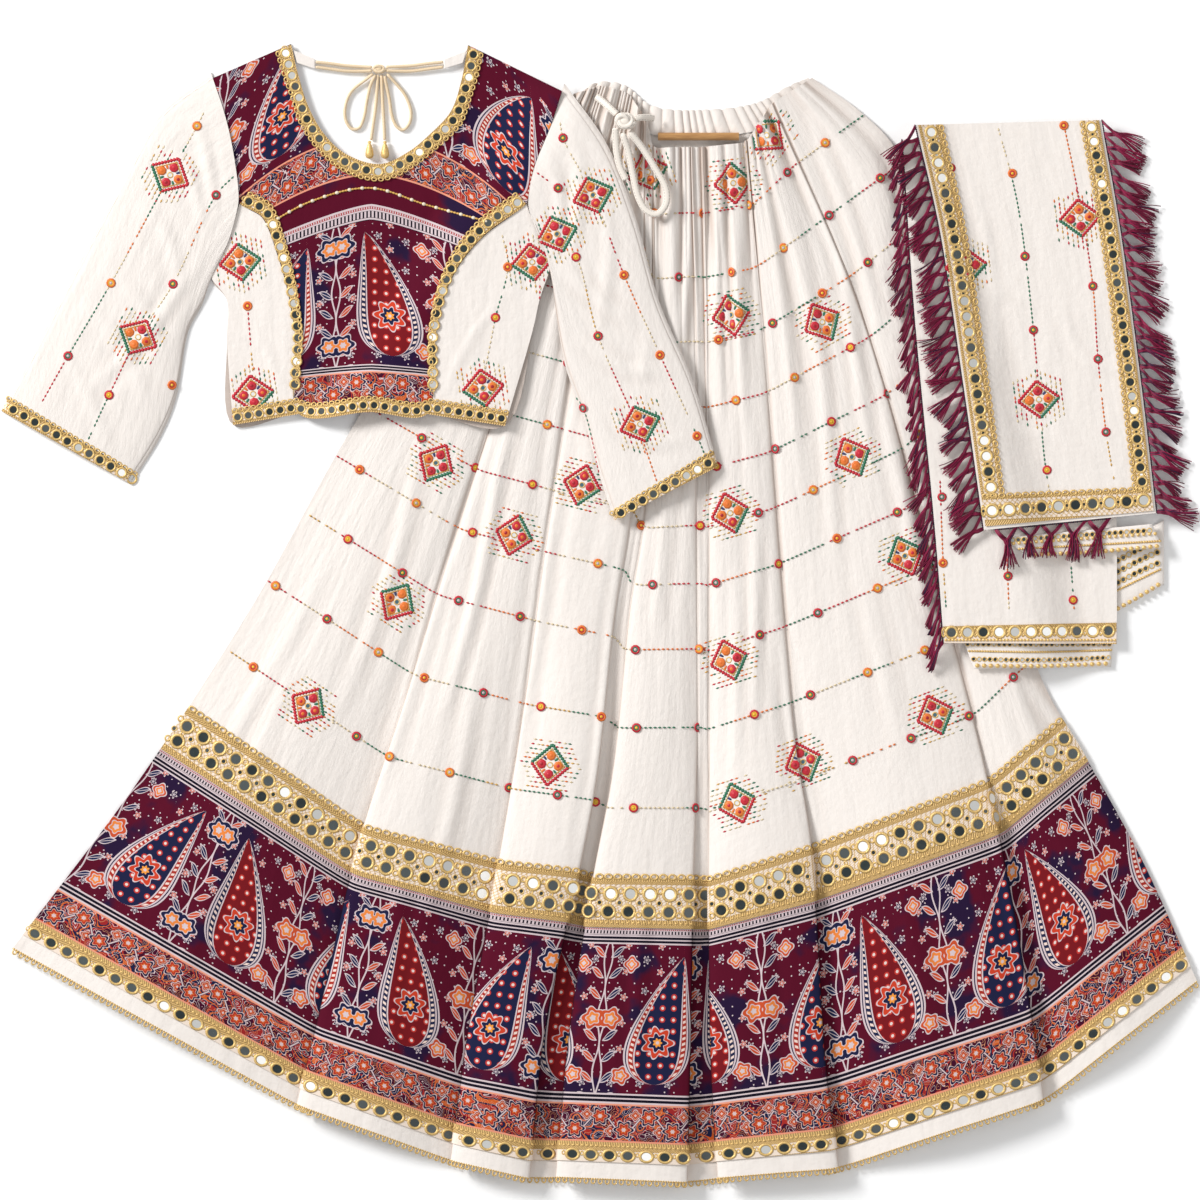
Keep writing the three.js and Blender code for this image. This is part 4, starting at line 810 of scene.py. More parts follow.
class Embroidery:
    """Collects stitches, rings and beads on one cloth, then makes them one piece."""

    def __init__(self, seed):
        self.random = np.random.default_rng(seed)
        self.marks = {"stitch": [], "ring": [], "bead": [], "mirror": []}

    def put(self, kind, frames, size, tones):
        n = len(frames[0])
        if n:
            self.marks[kind].append((frames, np.broadcast_to(np.asarray(size, float), (n, 3)),
                                     np.broadcast_to(np.asarray(tones, float), (n, 3))))

    def dashes(self, frames, run=9):
        """A running line whose colours change in short runs, with bare gaps."""
        n = len(frames[0])
        number = self.random.integers(0, len(STITCHES), n // run + 2)
        tones = np.array([STITCHES[number[i // run]] for i in range(n)])
        keep = self.random.random(n) > 0.1
        self.put("stitch", kept(frames, keep), (2.1, 1.05, 0.6), tones[keep])

    def rosettes(self, frames, size=4.9):
        """Round stitched eyes: an outer ring, an inner ring and a bright middle."""
        n = len(frames[0])
        pick = [ROSETTES[k] for k in self.random.integers(0, len(ROSETTES), n)]
        self.put("ring", frames, (size, size, size * 0.42), [p[0] for p in pick])
        self.put("ring", frames, (size * 0.66, size * 0.66, size * 0.4), [p[1] for p in pick])
        self.put("bead", frames, (size * 0.36, size * 0.36, size * 0.25), [p[2] for p in pick])

    def diamond(self, centre, along, drop):
        """A stitched diamond with four flowers, a mirror and a halo of short stitches, dropped on the cloth."""
        along = unit(np.asarray(along, float))
        down = np.array([along[1], -along[0], 0])

        def place(spots, turned):
            spots = np.asarray(spots, float)
            at = centre + spots[:, :1] * along + spots[:, 1:] * down
            to = np.cos(turned)[:, None] * along + np.sin(turned)[:, None] * down
            return drop(at, to)

        corners = [(DIAMOND[0], 0), (0, DIAMOND[1]), (-DIAMOND[0], 0), (0, -DIAMOND[1])]
        tones = [(RED, RED, GREEN, GREEN), (GREEN, RED, RED, RED), (RED, RED, RED, GREEN)][self.random.integers(0, 3)]
        for scale, colours, wide in ((1, tones, 2.1), (0.78, (GOLD_THREAD,) * 4, 0.8)):
            for k in range(4):
                a, b = np.array(corners[k]) * scale, np.array(corners[(k + 1) % 4]) * scale
                t = (np.arange(9) + 0.5) / 9
                turned = np.full(9, math.atan2(b[1] - a[1], b[0] - a[0]))
                self.put("stitch", place(a + (b - a) * t[:, None], turned)[0], (2.9, wide, 0.8), colours[k])
        leaves = [(6, 6.5), (-6, 6.5), (-6, -6.5), (6, -6.5)]
        frames = place(leaves, np.radians([45, 135, 45, 135]))[0]
        self.put("bead", frames, (3.0, 1.3, 0.6), [GREEN, ORANGE, (0.04, 0.05, 0.16), GREEN][: len(frames[0])])
        for k, (a, b) in enumerate([(8.3, 0), (0, 9.4), (-8.3, 0), (0, -9.4)]):
            frames = place([(a, b)], np.zeros(1))[0]
            self.put("bead", frames, (5.0, 5.2, 0.9), [RED, ORANGE][(k + self.random.integers(0, 2)) % 2])
            self.put("bead", frames, (2.4, 2.6, 1.25), [ORANGE, (0.4, 0.01, 0.02), RED][self.random.integers(0, 3)])
        # The middle mirror gets a painted reflection, dark or bright.
        self.put("mirror", place([(0, 0)], np.zeros(1))[0], (3.2, 3.2, 1.3), EYE_REFLECTIONS[self.random.integers(0, 2)])
        halo = []
        for b in np.arange(-23.5, 24, 4.7):
            for a in np.arange(-32 + 1.3 * (b % 3), 33, 4.8):
                if abs(a) / 17 + abs(b) / 20 > 1.17 and abs(a) < 31 - 0.5 * abs(b) and self.random.random() > 0.1:
                    halo.append((a + self.random.normal(0, 0.4), b))
        frames, mask = place(halo, np.zeros(len(halo)))
        palette = np.array([RED, GREEN, GOLD_THREAD, PALE_GOLD, PALE_GOLD, ORANGE])
        tones = palette[self.random.integers(0, len(palette), len(halo))][mask]
        self.put("stitch", frames, (2.3, 1.0, 0.5), tones)

    def finish(self, name, lift):
        made = finishes()
        shapes = {"stitch": stitch_shape, "ring": lone_ring_shape, "bead": bead_shape, "mirror": mirror_shape}
        for kind, marks in self.marks.items():
            if marks:
                frames = joined([m[0] for m in marks])
                sizes = np.concatenate([m[1] for m in marks])
                tones = np.concatenate([m[2] for m in marks])
                materials = [made["mirror"], made["gold"]] if kind == "mirror" else [made["thread"]]
                stamp(f"{name}_{kind}", template(shapes[kind]), frames, sizes, materials, tones, lift)


def dropper(surface):
    """Drops plan points on cloth from above. Points that miss, or land on a steep side, are left out."""
    rows, columns = surface.shape[:2]
    index = np.arange(rows * columns).reshape(rows, columns)
    faces = np.stack([index[:-1, :-1], index[1:, :-1], index[1:, 1:], index[:-1, 1:]], axis=2).reshape(-1, 4)
    tree = BVHTree.FromPolygons([Vector(p) for p in surface.reshape(-1, 3)], faces.tolist())

    def drop(points, directions=None):
        directions = np.tile((1.0, 0, 0), (len(points), 1)) if directions is None else directions
        origin, normal, along, mask = [], [], [], []
        for point, direction in zip(points, directions):
            place, up, _, _ = tree.ray_cast(Vector((point[0], point[1], 200)), Vector((0, 0, -1)))
            mask.append(place is not None and abs(up.z) > 0.35)
            if mask[-1]:
                origin.append(place[:])
                normal.append((up if up.z > 0 else -up)[:])
                along.append(tuple(direction))
        frames = tuple(np.array(part).reshape(-1, 3) for part in (origin, normal, along))
        return frames, np.array(mask, bool)

    return drop


def seen_from_above(frames, drop, slack=1.6):
    """Keeps the frames that nothing covers and that face up."""
    origin, normal, along = frames
    hits, mask = drop(origin, along)
    height = np.full(len(origin), -1e3)
    height[mask] = hits[0][:, 2]
    good = (normal[:, 2] > 0.3) & (height - origin[:, 2] < slack)
    return kept(frames, good)


def lace(name, surface, material, nodes, mirrors, rings=(), beads=(), seed=1, wall=0.8, declare=True):
    """A strip of mirror lace: rows across its width, columns along it.

    mirrors are (share of the width, pitch, half size, phase, share of ones painted with a dark reflection).
    rings and beads are (share of the width, pitch, size, how far out past that row, phase).
    """
    made = finishes()
    if np.mean(normals_of(surface)[..., 2]) < 0:
        surface = surface[:, ::-1]
    if declare:
        cloth(name, surface, material, nodes, wall=wall)
    strip = Surface(surface, wall / 2)
    drop = dropper(surface)
    random = np.random.default_rng(seed)
    frames, sizes, tones = [], [], []
    for share, pitch, half, phase, dark in mirrors:
        got = seen_from_above(strip.strip_spots(share, pitch, phase), drop, 3.5)
        n = len(got[0])
        frames.append(got)
        size = half if isinstance(half, tuple) else (half, half)
        sizes.append(np.broadcast_to(np.array([*size, 1.5 if size[0] > 4 else 1.1]), (n, 3)))
        # Each mirror gets a painted reflection, dark or bright.
        pick = np.where(random.random(n) < dark, random.integers(0, 3, n), random.integers(2, 5, n))
        tones.append(np.array([MIRROR_REFLECTIONS[k] for k in pick]).reshape(n, 3))
    if frames:
        stamp(f"{name}_mirrors", template(mirror_shape), joined(frames), np.concatenate(sizes),
              [made["mirror"], made["gold"]], np.concatenate(tones))
    for kind, shape, rows in (("rings", lone_ring_shape, rings), ("beads", bead_shape, beads)):
        frames, sizes = [], []
        for share, pitch, size, out, phase in rows:
            point, normal, along = strip.strip_spots(share, pitch, phase)
            got = seen_from_above((point - np.cross(normal, along) * out, normal, along), drop, 3.5)
            frames.append(got)
            sizes.append(np.broadcast_to(np.asarray(size, float), (len(got[0]), 3)))
        if frames:
            stamp(f"{name}_{kind}", template(shape), joined(frames), np.concatenate(sizes), [made["gold"]])


def hem_edging(name, surface):
    """A gold cord along a hem's last row, with a tooth of gold thread every 7 mm."""
    gold = [finishes()["gold"]]
    edge = Surface(surface)
    drop = dropper(surface)
    point, normal, along = edge.strip_spots(1.0, 7.0)
    teeth = seen_from_above((point - np.cross(normal, along) * 2.6, normal, along), drop, 4)
    stamp(f"{name}_teeth", template(lone_ring_shape), teeth, (2.7, 3.4, 1.1), gold)
    point, normal, along = edge.strip_spots(1.0, 2.5)
    turned = unit(along + np.cross(normal, along) * 0.5)
    twist = seen_from_above((point, normal, turned), drop, 4)
    stamp(f"{name}_cord", template(stitch_shape), twist, (2.1, 1.2, 1.3), gold)


def strung(name, shape, paths, radius, material, tones):
    """Many thin threads in one mesh, each bent along its own path of points."""
    points, faces, _ = shape
    paths = np.asarray(paths, float)
    count, steps = paths.shape[:2]
    along = unit(np.gradient(paths, axis=1))
    side = unit(np.cross(along, np.array([0, 0, 1.0])))
    up = np.cross(side, along)
    k = np.clip(np.round(points[:, 2] * (steps - 1)).astype(int), 0, steps - 1)
    out, over = (points[:, :2] * radius).T[:, None, :, None]
    co = paths[:, k] + side[:, k] * out + up[:, k] * over
    mesh = bpy.data.meshes.new(name)
    n = len(points)
    all_faces = [[v + j * n for v in face] for j in range(count) for face in faces]
    mesh.from_pydata((co.reshape(-1, 3) * MM).tolist(), [], all_faces)
    paint(mesh, "Tone", np.repeat(tones, n, axis=0))
    smooth(mesh)
    return new_piece(name, mesh, [material], [name])


def dotted(line, pitch, start=0, end=1, least=1):
    """Points spread evenly along part of a line, about one pitch apart."""
    number = max(least, int(at_length(line, [0])[1] * (end - start) / pitch))
    return at_length(line, start + (end - start) * (np.arange(number) + 0.5) / number)[0]


def headings(points):
    """The direction of a line at each of its points."""
    return unit(np.gradient(points, axis=0))


def stitched_line(work, path, drop, pitch=5.0, diamonds=(), run=9):
    """A dashed line of stitches dropped along a plan path. It stops short of the diamonds."""
    points = dotted(plan(path), pitch, least=2)
    along = headings(points)
    for centre in diamonds:
        clear = np.linalg.norm((points - centre)[:, :2], axis=1) > LINE_CLEAR
        points, along = points[clear], along[clear]
    work.dashes(drop(points, along)[0], run)


# Shader maths as Python expressions.
class Value:
    """A shader socket that adds Math nodes when it is used in an expression."""

    def __init__(self, shader, socket):
        self.shader = shader
        self.socket = socket

    def math(self, operation, *others):
        values = dict(enumerate([self, *others]))
        return self.shader.node("ShaderNodeMath", {"operation": operation}, values)

    def __add__(self, other):
        return self.math("ADD", other)

    __radd__ = __add__

    def __mul__(self, other):
        return self.math("MULTIPLY", other)

    __rmul__ = __mul__

    def __sub__(self, other):
        return self.math("SUBTRACT", other)

    def __rsub__(self, other):
        return (self * -1) + other

    def __truediv__(self, other):
        return self.math("DIVIDE", other)

    def __lt__(self, other):
        return self.math("LESS_THAN", other)

    def __gt__(self, other):
        return self.math("GREATER_THAN", other)

    def __abs__(self):
        return self.math("ABSOLUTE")

    def __pow__(self, other):
        return self.math("POWER", other)

    def sine(self):
        return self.math("SINE")

    def part(self):
        return self.math("FRACT")

    def least(self, other):
        return self.math("MINIMUM", other)

    def most(self, other):
        return self.math("MAXIMUM", other)

    def clamped(self):
        return self.most(0).least(1)

    def between(self, low, high):
        return (self > low) * (self < high)


class Shader:
    """A material's node tree."""

    def __init__(self, name):
        self.material = bpy.data.materials.new(name)
        self.material.use_nodes = True
        self.nodes = self.material.node_tree.nodes
        self.links = self.material.node_tree.links
        self.surface = self.nodes["Principled BSDF"]

    def node(self, kind, settings=None, inputs=None, output=0):
        made = self.nodes.new(kind)
        for key, value in (settings or {}).items():
            if key == "stops":
                ramp = made.color_ramp
                while len(ramp.elements) < len(value):
                    ramp.elements.new(0.5)
                for element, (place, colour) in zip(ramp.elements, value):
                    element.position = place
                    element.color = (*colour, 1)
            else:
                setattr(made, key, value)
        for key, value in (inputs or {}).items():
            if isinstance(value, Value):
                self.links.new(value.socket, made.inputs[key])
            elif isinstance(value, tuple) and len(value) == 3 and made.inputs[key].type == "RGBA":
                made.inputs[key].default_value = (*value, 1)
            else:
                made.inputs[key].default_value = value
        return Value(self, made.outputs[output])

    def fix(self, **values):
        """Numbers and colours that are the same all over."""
        for key, value in values.items():
            socket = self.surface.inputs[key.replace("_", " ")]
            socket.default_value = (*value, 1) if isinstance(value, tuple) and len(value) == 3 else value

    def feed(self, key, value):
        self.links.new(value.socket, self.surface.inputs[key])

    def place(self):
        return self.node("ShaderNodeTexCoord", output=3)

    def cloth_uv(self):
        at = self.node("ShaderNodeUVMap", {"uv_map": "Cloth"})
        return at, self.axis(at, 0), self.axis(at, 1)

    def axis(self, vector, index):
        return self.node("ShaderNodeSeparateXYZ", None, {0: vector}, index)

    def noise(self, vector, scale, detail=2.0, roughness=0.5):
        return self.node("ShaderNodeTexNoise", None,
                         {"Vector": vector, "Scale": scale, "Detail": detail, "Roughness": roughness})

    def stretched(self, vector, factors):
        """A vector with each part scaled by its own factor."""
        return self.node("ShaderNodeVectorMath", {"operation": "MULTIPLY"}, {0: vector, 1: factors})

    def painted(self, name, output=0):
        """The colour that the mesh carries at each point, or its strength with output 2."""
        return self.node("ShaderNodeAttribute", {"attribute_name": name}, output=output)

    def layered(self, colour, measure, tones):
        """Lays each tone over the ones before it, wherever the measure is under its reach."""
        for reach, tone in tones:
            colour = self.blend(measure < reach, colour, tone)
        return colour

    def blend(self, factor, a, b, kind="MIX"):
        return self.node("ShaderNodeMix", {"data_type": "RGBA", "blend_type": kind},
                         {"Factor": factor, 6: a, 7: b}, 2)

    def ramp(self, factor, stops, interpolation="LINEAR"):
        made = self.node("ShaderNodeValToRGB", {"stops": stops}, {0: factor})
        made.socket.node.color_ramp.interpolation = interpolation
        return made

    def bump(self, height, strength, distance):
        self.feed("Normal", self.node("ShaderNodeBump", None,
                                      {"Height": height, "Strength": strength, "Distance": distance}))


def toned(colour, factor, more=0.0):
    """A colour made darker or lighter."""
    return tuple(min(1, c * factor + more) for c in colour)


def weave(across, down):
    """The threads of plain cloth."""
    return (across * 7.2).sine() * 0.5 + (down * 7.2).sine() * 0.5


def flower(dx, dy, petals, deep):
    """Distance from a flower's middle, shorter along its petals, so that each level of it is a flower's edge."""
    turn = (dy.math("ARCTAN2", dx) * petals).math("COSINE")
    return (dx * dx + dy * dy).math("SQRT") / (1 + turn * deep)


def cotton(name, colour):
    """Soft cotton with a fine weave, faint slubs and pressed wrinkles, and painted shade that darkens its folds."""
    s = Shader(name)
    uv, across, down = s.cloth_uv()
    slub = s.noise(s.stretched(uv, (0.35, 0.03, 1)), 1.0, 2)
    wrinkle = s.noise(s.stretched(uv, (0.05, 0.012, 1)), 1.0, 4)
    fine = s.noise(uv, 0.13, 5, 0.6)
    dark = tuple(c * f for c, f in zip(colour, (0.9, 0.87, 0.84)))
    # deep is the colour of the painted shade: the cloth darkened and warmed where it lies in a fold.
    deep = tuple(c * f for c, f in zip(colour, (0.58, 0.48, 0.42)))
    shade = s.blend(((slub - 0.5) * 0.4 + (fine - 0.5) * 0.4 + 0.25).clamped(), colour, dark)
    # Painted shade: the colour goes towards the deep tone as far as the point lies in a fold.
    s.feed("Base Color", s.blend(s.painted("Fold", 2), shade, deep))
    s.fix(Roughness=0.66, Sheen_Weight=0.1, Sheen_Roughness=0.5, Specular_IOR_Level=0.25)
    s.bump(weave(across, down) * 0.03 + wrinkle + fine * 0.35, 0.8, 0.0022)
    return s.material


def plain(name, colour, roughness=0.6, metallic=0.0, bump=0.2):
    s = Shader(name)
    grain = s.noise(s.place(), 900.0, 3)
    s.feed("Base Color", s.blend(grain, colour, toned(colour, 0.7)))
    s.fix(Roughness=roughness, Metallic=metallic)
    s.bump(grain, bump, 0.0004)
    return s.material


def tape_finish(name, colour, round_run):
    """Flat cotton tape, stitched near both edges. round_run is the millimetres round it."""
    s = Shader(name)
    uv, across, down = s.cloth_uv()
    share = (across / round_run).part()
    stitch = (abs(abs(share - 0.25) - 0.12) < 0.018) * ((down / 3.2).part() > 0.3)
    grain = s.noise(uv, 1.4, 3)
    s.feed("Base Color", s.blend((grain * 0.3 + stitch * 0.7).least(1), colour, toned(colour, 0.5)))
    s.fix(Roughness=0.7, Specular_IOR_Level=0.25)
    s.bump(grain * 0.5 + (stitch * -1), 0.5, 0.0005)
    return s.material


def wood(name, light, dark):
    """Turned wood, with its grain along X."""
    s = Shader(name)
    grain = s.noise(s.stretched(s.place(), (60.0, 900.0, 900.0)), 1.0, 4, 0.6)
    s.feed("Base Color", s.blend(((grain - 0.35) * 3).clamped(), light, dark))
    s.feed("Roughness", grain * 0.2 + 0.28)
    s.bump(grain, 0.3, 0.0003)
    return s.material


def thread_finish(name, gloss=0.45):
    """Silk thread in the colour of each stitch."""
    s = Shader(name)
    grain = s.noise(s.place(), 1500.0, 2)
    s.feed("Base Color", s.blend(grain * 0.35, s.painted("Tone"), (0.02, 0.01, 0.01)))
    s.fix(Roughness=gloss, Specular_IOR_Level=0.4)
    s.bump(grain, 0.3, 0.0004)
    return s.material


def mirror_finish():
    s = Shader("Small mirrors")
    # A mirror's colour is painted reflection: the dark or bright reflection that it carries, mottled with a grey
    # cloud.
    cloud = s.noise(s.place(), 160.0, 2)
    s.feed("Base Color", s.blend(cloud * 0.4, s.painted("Tone"), (0.04, 0.05, 0.05), "ADD"))
    s.feed("Roughness", cloud * 0.25 + 0.12)
    s.fix(Specular_IOR_Level=0.5)
    return s.material


def gold_thread(colour):
    """Twisted metal thread."""
    s = Shader("Gold thread")
    grain = s.noise(s.place(), 700.0, 3)
    s.feed("Base Color", s.blend(grain, toned(colour, 0.62), toned(colour, 1.5, 0.06)))
    s.fix(Roughness=0.42, Metallic=0.35, Specular_IOR_Level=0.5)
    s.bump(grain, 0.6, 0.0007)
    return s.material


def lace_ground(name, gold, white, width, top, bottom, net):
    """Gold braids along both edges, with a netted ground between them."""
    s = Shader(name)
    uv, along, down = s.cloth_uv()
    near = down.least((down * -1) + width)
    braid = ((down < top) + (down > width - bottom)).least(1)
    plait = ((along * 2.6) + (near - top * 0.5).math("ABSOLUTE") * 2.2).sine()
    thread = s.noise(uv, 1.1, 2)
    gold_tone = s.blend((plait * 0.28 + thread * 0.55 + 0.12).clamped(), toned(gold, 0.4), toned(gold, 1.4, 0.05))
    cross = ((along * 0.62 + down * 0.62).sine() * (along * 0.62 - down * 0.62).sine()).math("ABSOLUTE")
    knots = (cross < 0.24) if net else (cross < -1)
    ground = s.blend(knots * 0.85, tuple(mix(np.array(white), np.array(gold), 0.25)), gold_tone)
    s.feed("Base Color", s.blend(braid, ground, gold_tone))
    s.fix(Roughness=0.5, Metallic=0.12, Specular_IOR_Level=0.4)
    s.bump(braid * (plait * 0.5 + 0.5) + knots * 0.7 + thread * 0.35, 0.8, 0.0007)
    return s.material


# The frieze's cell, and its paisley's foot, height, width and lean. The width of the flower band's cell.
CELL_WIDE, CELL_HIGH = 112, 150
PAISLEY_FOOT, PAISLEY_HIGH, PAISLEY_WIDE, PAISLEY_LEAN = 12, 128, 46, 27
BAND_CELL = 46
# How near to the stem a leaf starts, and how far it reaches.
LEAF_REACH = (2.5, 17.4)
# Flowers of the frieze's cell and of the band: place, size and petals.
FRIEZE_FLOWERS = [(50, 22, 12.5, 6), (-47, 75, 11, 5), (49, 128, 11.5, 6), (-30, 20, 8, 4), (-33, 132, 9, 5)]
BAND_FLOWERS = [(-11.5, 0.34, 8.8, 6), (11.5, -0.34, 8.8, 6), (-1, -0.42, 5.2, 4), (22, 0.42, 5.2, 4)]


def frieze(s, across, down, start, end, ground):
    """A frieze of paisleys with dotted fields, between stems of leaves and flowers."""
    y = (down - start) * (CELL_HIGH / (end - start))
    cell = across / CELL_WIDE
    odd = (cell * 0.5).part() > 0.5
    x = (cell.part() - 0.5) * CELL_WIDE * (odd * -2 + 1)
    beside = CELL_WIDE / 2 - abs(x)

    def spot(pitch, shift=0.0):
        dx = ((x / pitch + shift).part() - 0.5) * pitch
        dy = ((y / pitch + 0.5 * shift).part() - 0.5) * pitch
        return (dx * dx + dy * dy).math("SQRT")

    colour = s.blend((spot(9, 0.3) < 0.75) * (spot(31, 0.1) < 13), ground, PALE)
    for pitch, high, shift in ((28, 31, 0.0), (37.3, 26, 0.45)):
        dx, dy = ((x / pitch + shift).part() - 0.5) * pitch, ((y / high + shift).part() - 0.5) * high
        tones = ((3.1, PALE), (2.2, RUST if shift else NAVY), (1.0, PALE))
        colour = s.layered(colour, flower(dx, dy, 5, 0.42), tones)
    stem = abs(beside - 2.2 - (y * 0.11).sine() * 2.2) < 0.75
    leaf = ((y / 21).part() - 0.5) * 21 + beside * 0.75 - 5
    blade = 4.2 * ((beside - 2.5) * 0.21).sine()
    in_leaf = (abs(leaf) < blade) * beside.between(*LEAF_REACH)
    colour = s.blend(in_leaf, colour, PALE)
    leaf_tone = s.blend(odd, (0.012, 0.02, 0.07), RUST)
    colour = s.blend((abs(leaf) + 1.1 < blade) * beside.between(*LEAF_REACH), colour, leaf_tone)
    colour = s.blend((abs(leaf) < 0.4) * in_leaf, colour, PALE)
    colour = s.blend(stem, colour, PALE)
    for cx, cy, size, petals in FRIEZE_FLOWERS:
        tones = [(size, PALE), (size - 1.1, RUST if petals != 6 else NAVY), (size * 0.62, PALE),
                 (size * 0.62 - 1, (0.75, 0.22, 0.05)), (size * 0.26, PALE)]
        colour = s.layered(colour, flower(x - cx, y - cy, petals, 0.16), tones)
    t = ((y - PAISLEY_FOOT) / PAISLEY_HIGH).clamped()
    wide = (t ** 0.8) * (1 - t ** 4).most(0).math("SQRT") * PAISLEY_WIDE + 0.01
    q = abs(x - (1 - t) * (1 - t) * PAISLEY_LEAN) / wide
    field = s.blend(odd, NAVY, (0.17, 0.008, 0.012))
    second = s.blend(odd, (0.36, 0.03, 0.02), (0.015, 0.02, 0.06))
    inner = s.blend(spot(11.5) < 3.0, field, (0.5, 0.04, 0.03))
    inner = s.blend(spot(11.5) < 1.5, inner, (0.7, 0.6, 0.56))
    teeth = ((y * 1.15 + abs(x) * 0.5).sine() > 0.1)
    colour = s.layered(colour, q, ((1.09, PALE), (1.03, NAVY), (0.99, PALE), (0.93, second), (0.76, PALE),
                                   (0.71, inner)))
    colour = s.blend(q.between(0.79, 0.9) * teeth, colour, (0.8, 0.62, 0.55))
    return s.layered(colour, flower(x - 2, y - 98, 7, 0.2), (
        (14.5, PALE), (13.3, (0.55, 0.05, 0.02)), (9, PALE), (8, NAVY), (4, (0.8, 0.3, 0.05)), (1.6, PALE)))


def curls(s, uv, across, down, middle):
    """A close band of small flowers among curling stems and leaves in thin light outlines."""
    orange, pale = (0.55, 0.1, 0.02), (0.62, 0.48, 0.48)
    coil = s.noise(uv, 0.1, 1, 0.4)
    fields = s.ramp(s.noise(uv, 0.075, 0), [(0, (0.05, 0.004, 0.02)), (0.4, (0.36, 0.025, 0.02)), (0.47, NAVY),
                                            (0.53, orange), (0.58, NAVY), (0.66, (0.3, 0.02, 0.02))], "CONSTANT")
    tone = s.blend(abs((coil * 34).sine()) < 0.26, fields, s.blend(coil > 0.5, (0.6, 0.25, 0.13), pale))
    x = (across / BAND_CELL).part() * BAND_CELL - BAND_CELL / 2
    vine = down - middle - (across * (2 * math.pi / BAND_CELL)).sine() * (middle * 0.5)
    tone = s.blend(abs(vine) < 1.9, tone, NAVY)
    tone = s.blend(abs(vine) < 1.0, tone, pale)
    for cx, cy, size, petals in BAND_FLOWERS:
        shades = [(size, pale), (size - 0.8, NAVY if petals == 6 else (0.25, 0.01, 0.015)),
                  (size * 0.7, (0.6, 0.3, 0.2)), (size * 0.7 - 0.8, (0.4, 0.03, 0.02)), (size * 0.4, orange),
                  (size * 0.22, pale)]
        tone = s.layered(tone, flower(x - cx, down - middle * (1 + cy), petals, 0.2), shades)
    return tone


def print_cloth(name, bands):
    """Printed cotton, with painted shade that darkens its folds almost to black. bands are (from, to, kind) in
    millimetres down the cloth.
    """
    s = Shader(name)
    uv, across, down = s.cloth_uv()
    blots = s.noise(uv, 0.018, 3)
    maroon = s.blend(((blots - 0.53) * 12).clamped(), (0.09, 0.0035, 0.017), (0.018, 0.007, 0.034))
    colour = maroon
    for start, end, kind in bands:
        share = (down - start) / (end - start)
        if kind == "frieze":
            tone = frieze(s, across, down, start, end, maroon)
        elif kind == "stripes":
            tone = s.ramp(share, [(0, PALE), (0.16, BLACK), (0.42, PALE), (0.56, BLACK), (0.82, PALE)], "CONSTANT")
        elif kind == "dentil":
            bars = (across / 3.7).part() > 0.45
            rows = s.ramp(share, [(0, PALE), (0.13, (0.35, 0.03, 0.03)), (0.3, PALE), (0.4, BLACK), (0.84, PALE),
                                  (0.95, BLACK)], "CONSTANT")
            tone = s.blend(bars * share.between(0.42, 0.82), rows, PALE)
            dots = ((across / 2.4).part() > 0.5) * share.between(0.15, 0.28)
            tone = s.blend(dots, tone, PALE)
        elif kind == "floral":
            tone = curls(s, uv, across, share * (end - start), (end - start) / 2)
            rim = (share < 0.045) + (share > 0.955)
            tone = s.blend(rim.least(1), tone, (0.75, 0.3, 0.2))
        else:
            tone = maroon
        colour = s.blend(down.between(start, end), colour, tone)
    wrinkle = s.noise(s.stretched(uv, (0.05, 0.014, 1)), 1.0, 4)
    # Painted shade: the print goes nearly black where the cloth lies deep in a fold.
    s.feed("Base Color", s.blend((s.painted("Fold", 2) * 1.3).least(0.95), colour, (0.006, 0.002, 0.005)))
    s.fix(Roughness=0.8, Specular_IOR_Level=0.08)
    s.bump(weave(across, down) * 0.04 + wrinkle, 0.6, 0.0018)
    return s.material


class SetSizes(bpy.types.PropertyGroup):
    """Settings of the set's cloth and trims."""

    threads: IntProperty(name="Threads", description="Threads in each tassel of the fringe", default=11, min=3, max=16)
    white: FloatVectorProperty(name="Cloth", description="Colour of the plain cloth", subtype="COLOR",
                               default=(0.845, 0.79, 0.745), min=0, max=1)
    gold: FloatVectorProperty(name="Gold", description="Colour of the gold thread", subtype="COLOR",
                              default=(0.8, 0.45, 0.15), min=0, max=1)


# Bands of the two prints: from and to, in millimetres down the cloth, and kind.
BORDER_BANDS = [(757, 764.6, "dentil"), (764.6, 773.7, "stripes"), (773.7, 923.9, "frieze"),
                (923.9, 934.3, "stripes"), (934.3, 973, "floral")]
BLOUSE_BANDS = [(0, 137, "frieze"), (137, 175, "floral"), (175, 204, "plain"), (204, 220, "dentil"),
                (220, 364, "frieze"), (364, 371, "stripes"), (371, 403, "floral")]
# Lace grounds: name, width, widths of the braids along their two edges, and whether the ground is netted.
LACES = {
    "lace": ("Wide mirror lace", 50, 6.5, 8, True),
    "lower_lace": ("Lower mirror lace", 20, 9, 0, False),
    "narrow_lace": ("Narrow mirror lace", 14.5, 3.4, 3.4, True),
    "left_lace": ("Stole lace, left", 21.8, 3, 3.6, True),
    "right_lace": ("Stole lace, right", 16.8, 3.4, 2.6, True),
    "foot_lace": ("Stole lace, foot", 27.4, 4, 3.4, True),
}
MADE = {}


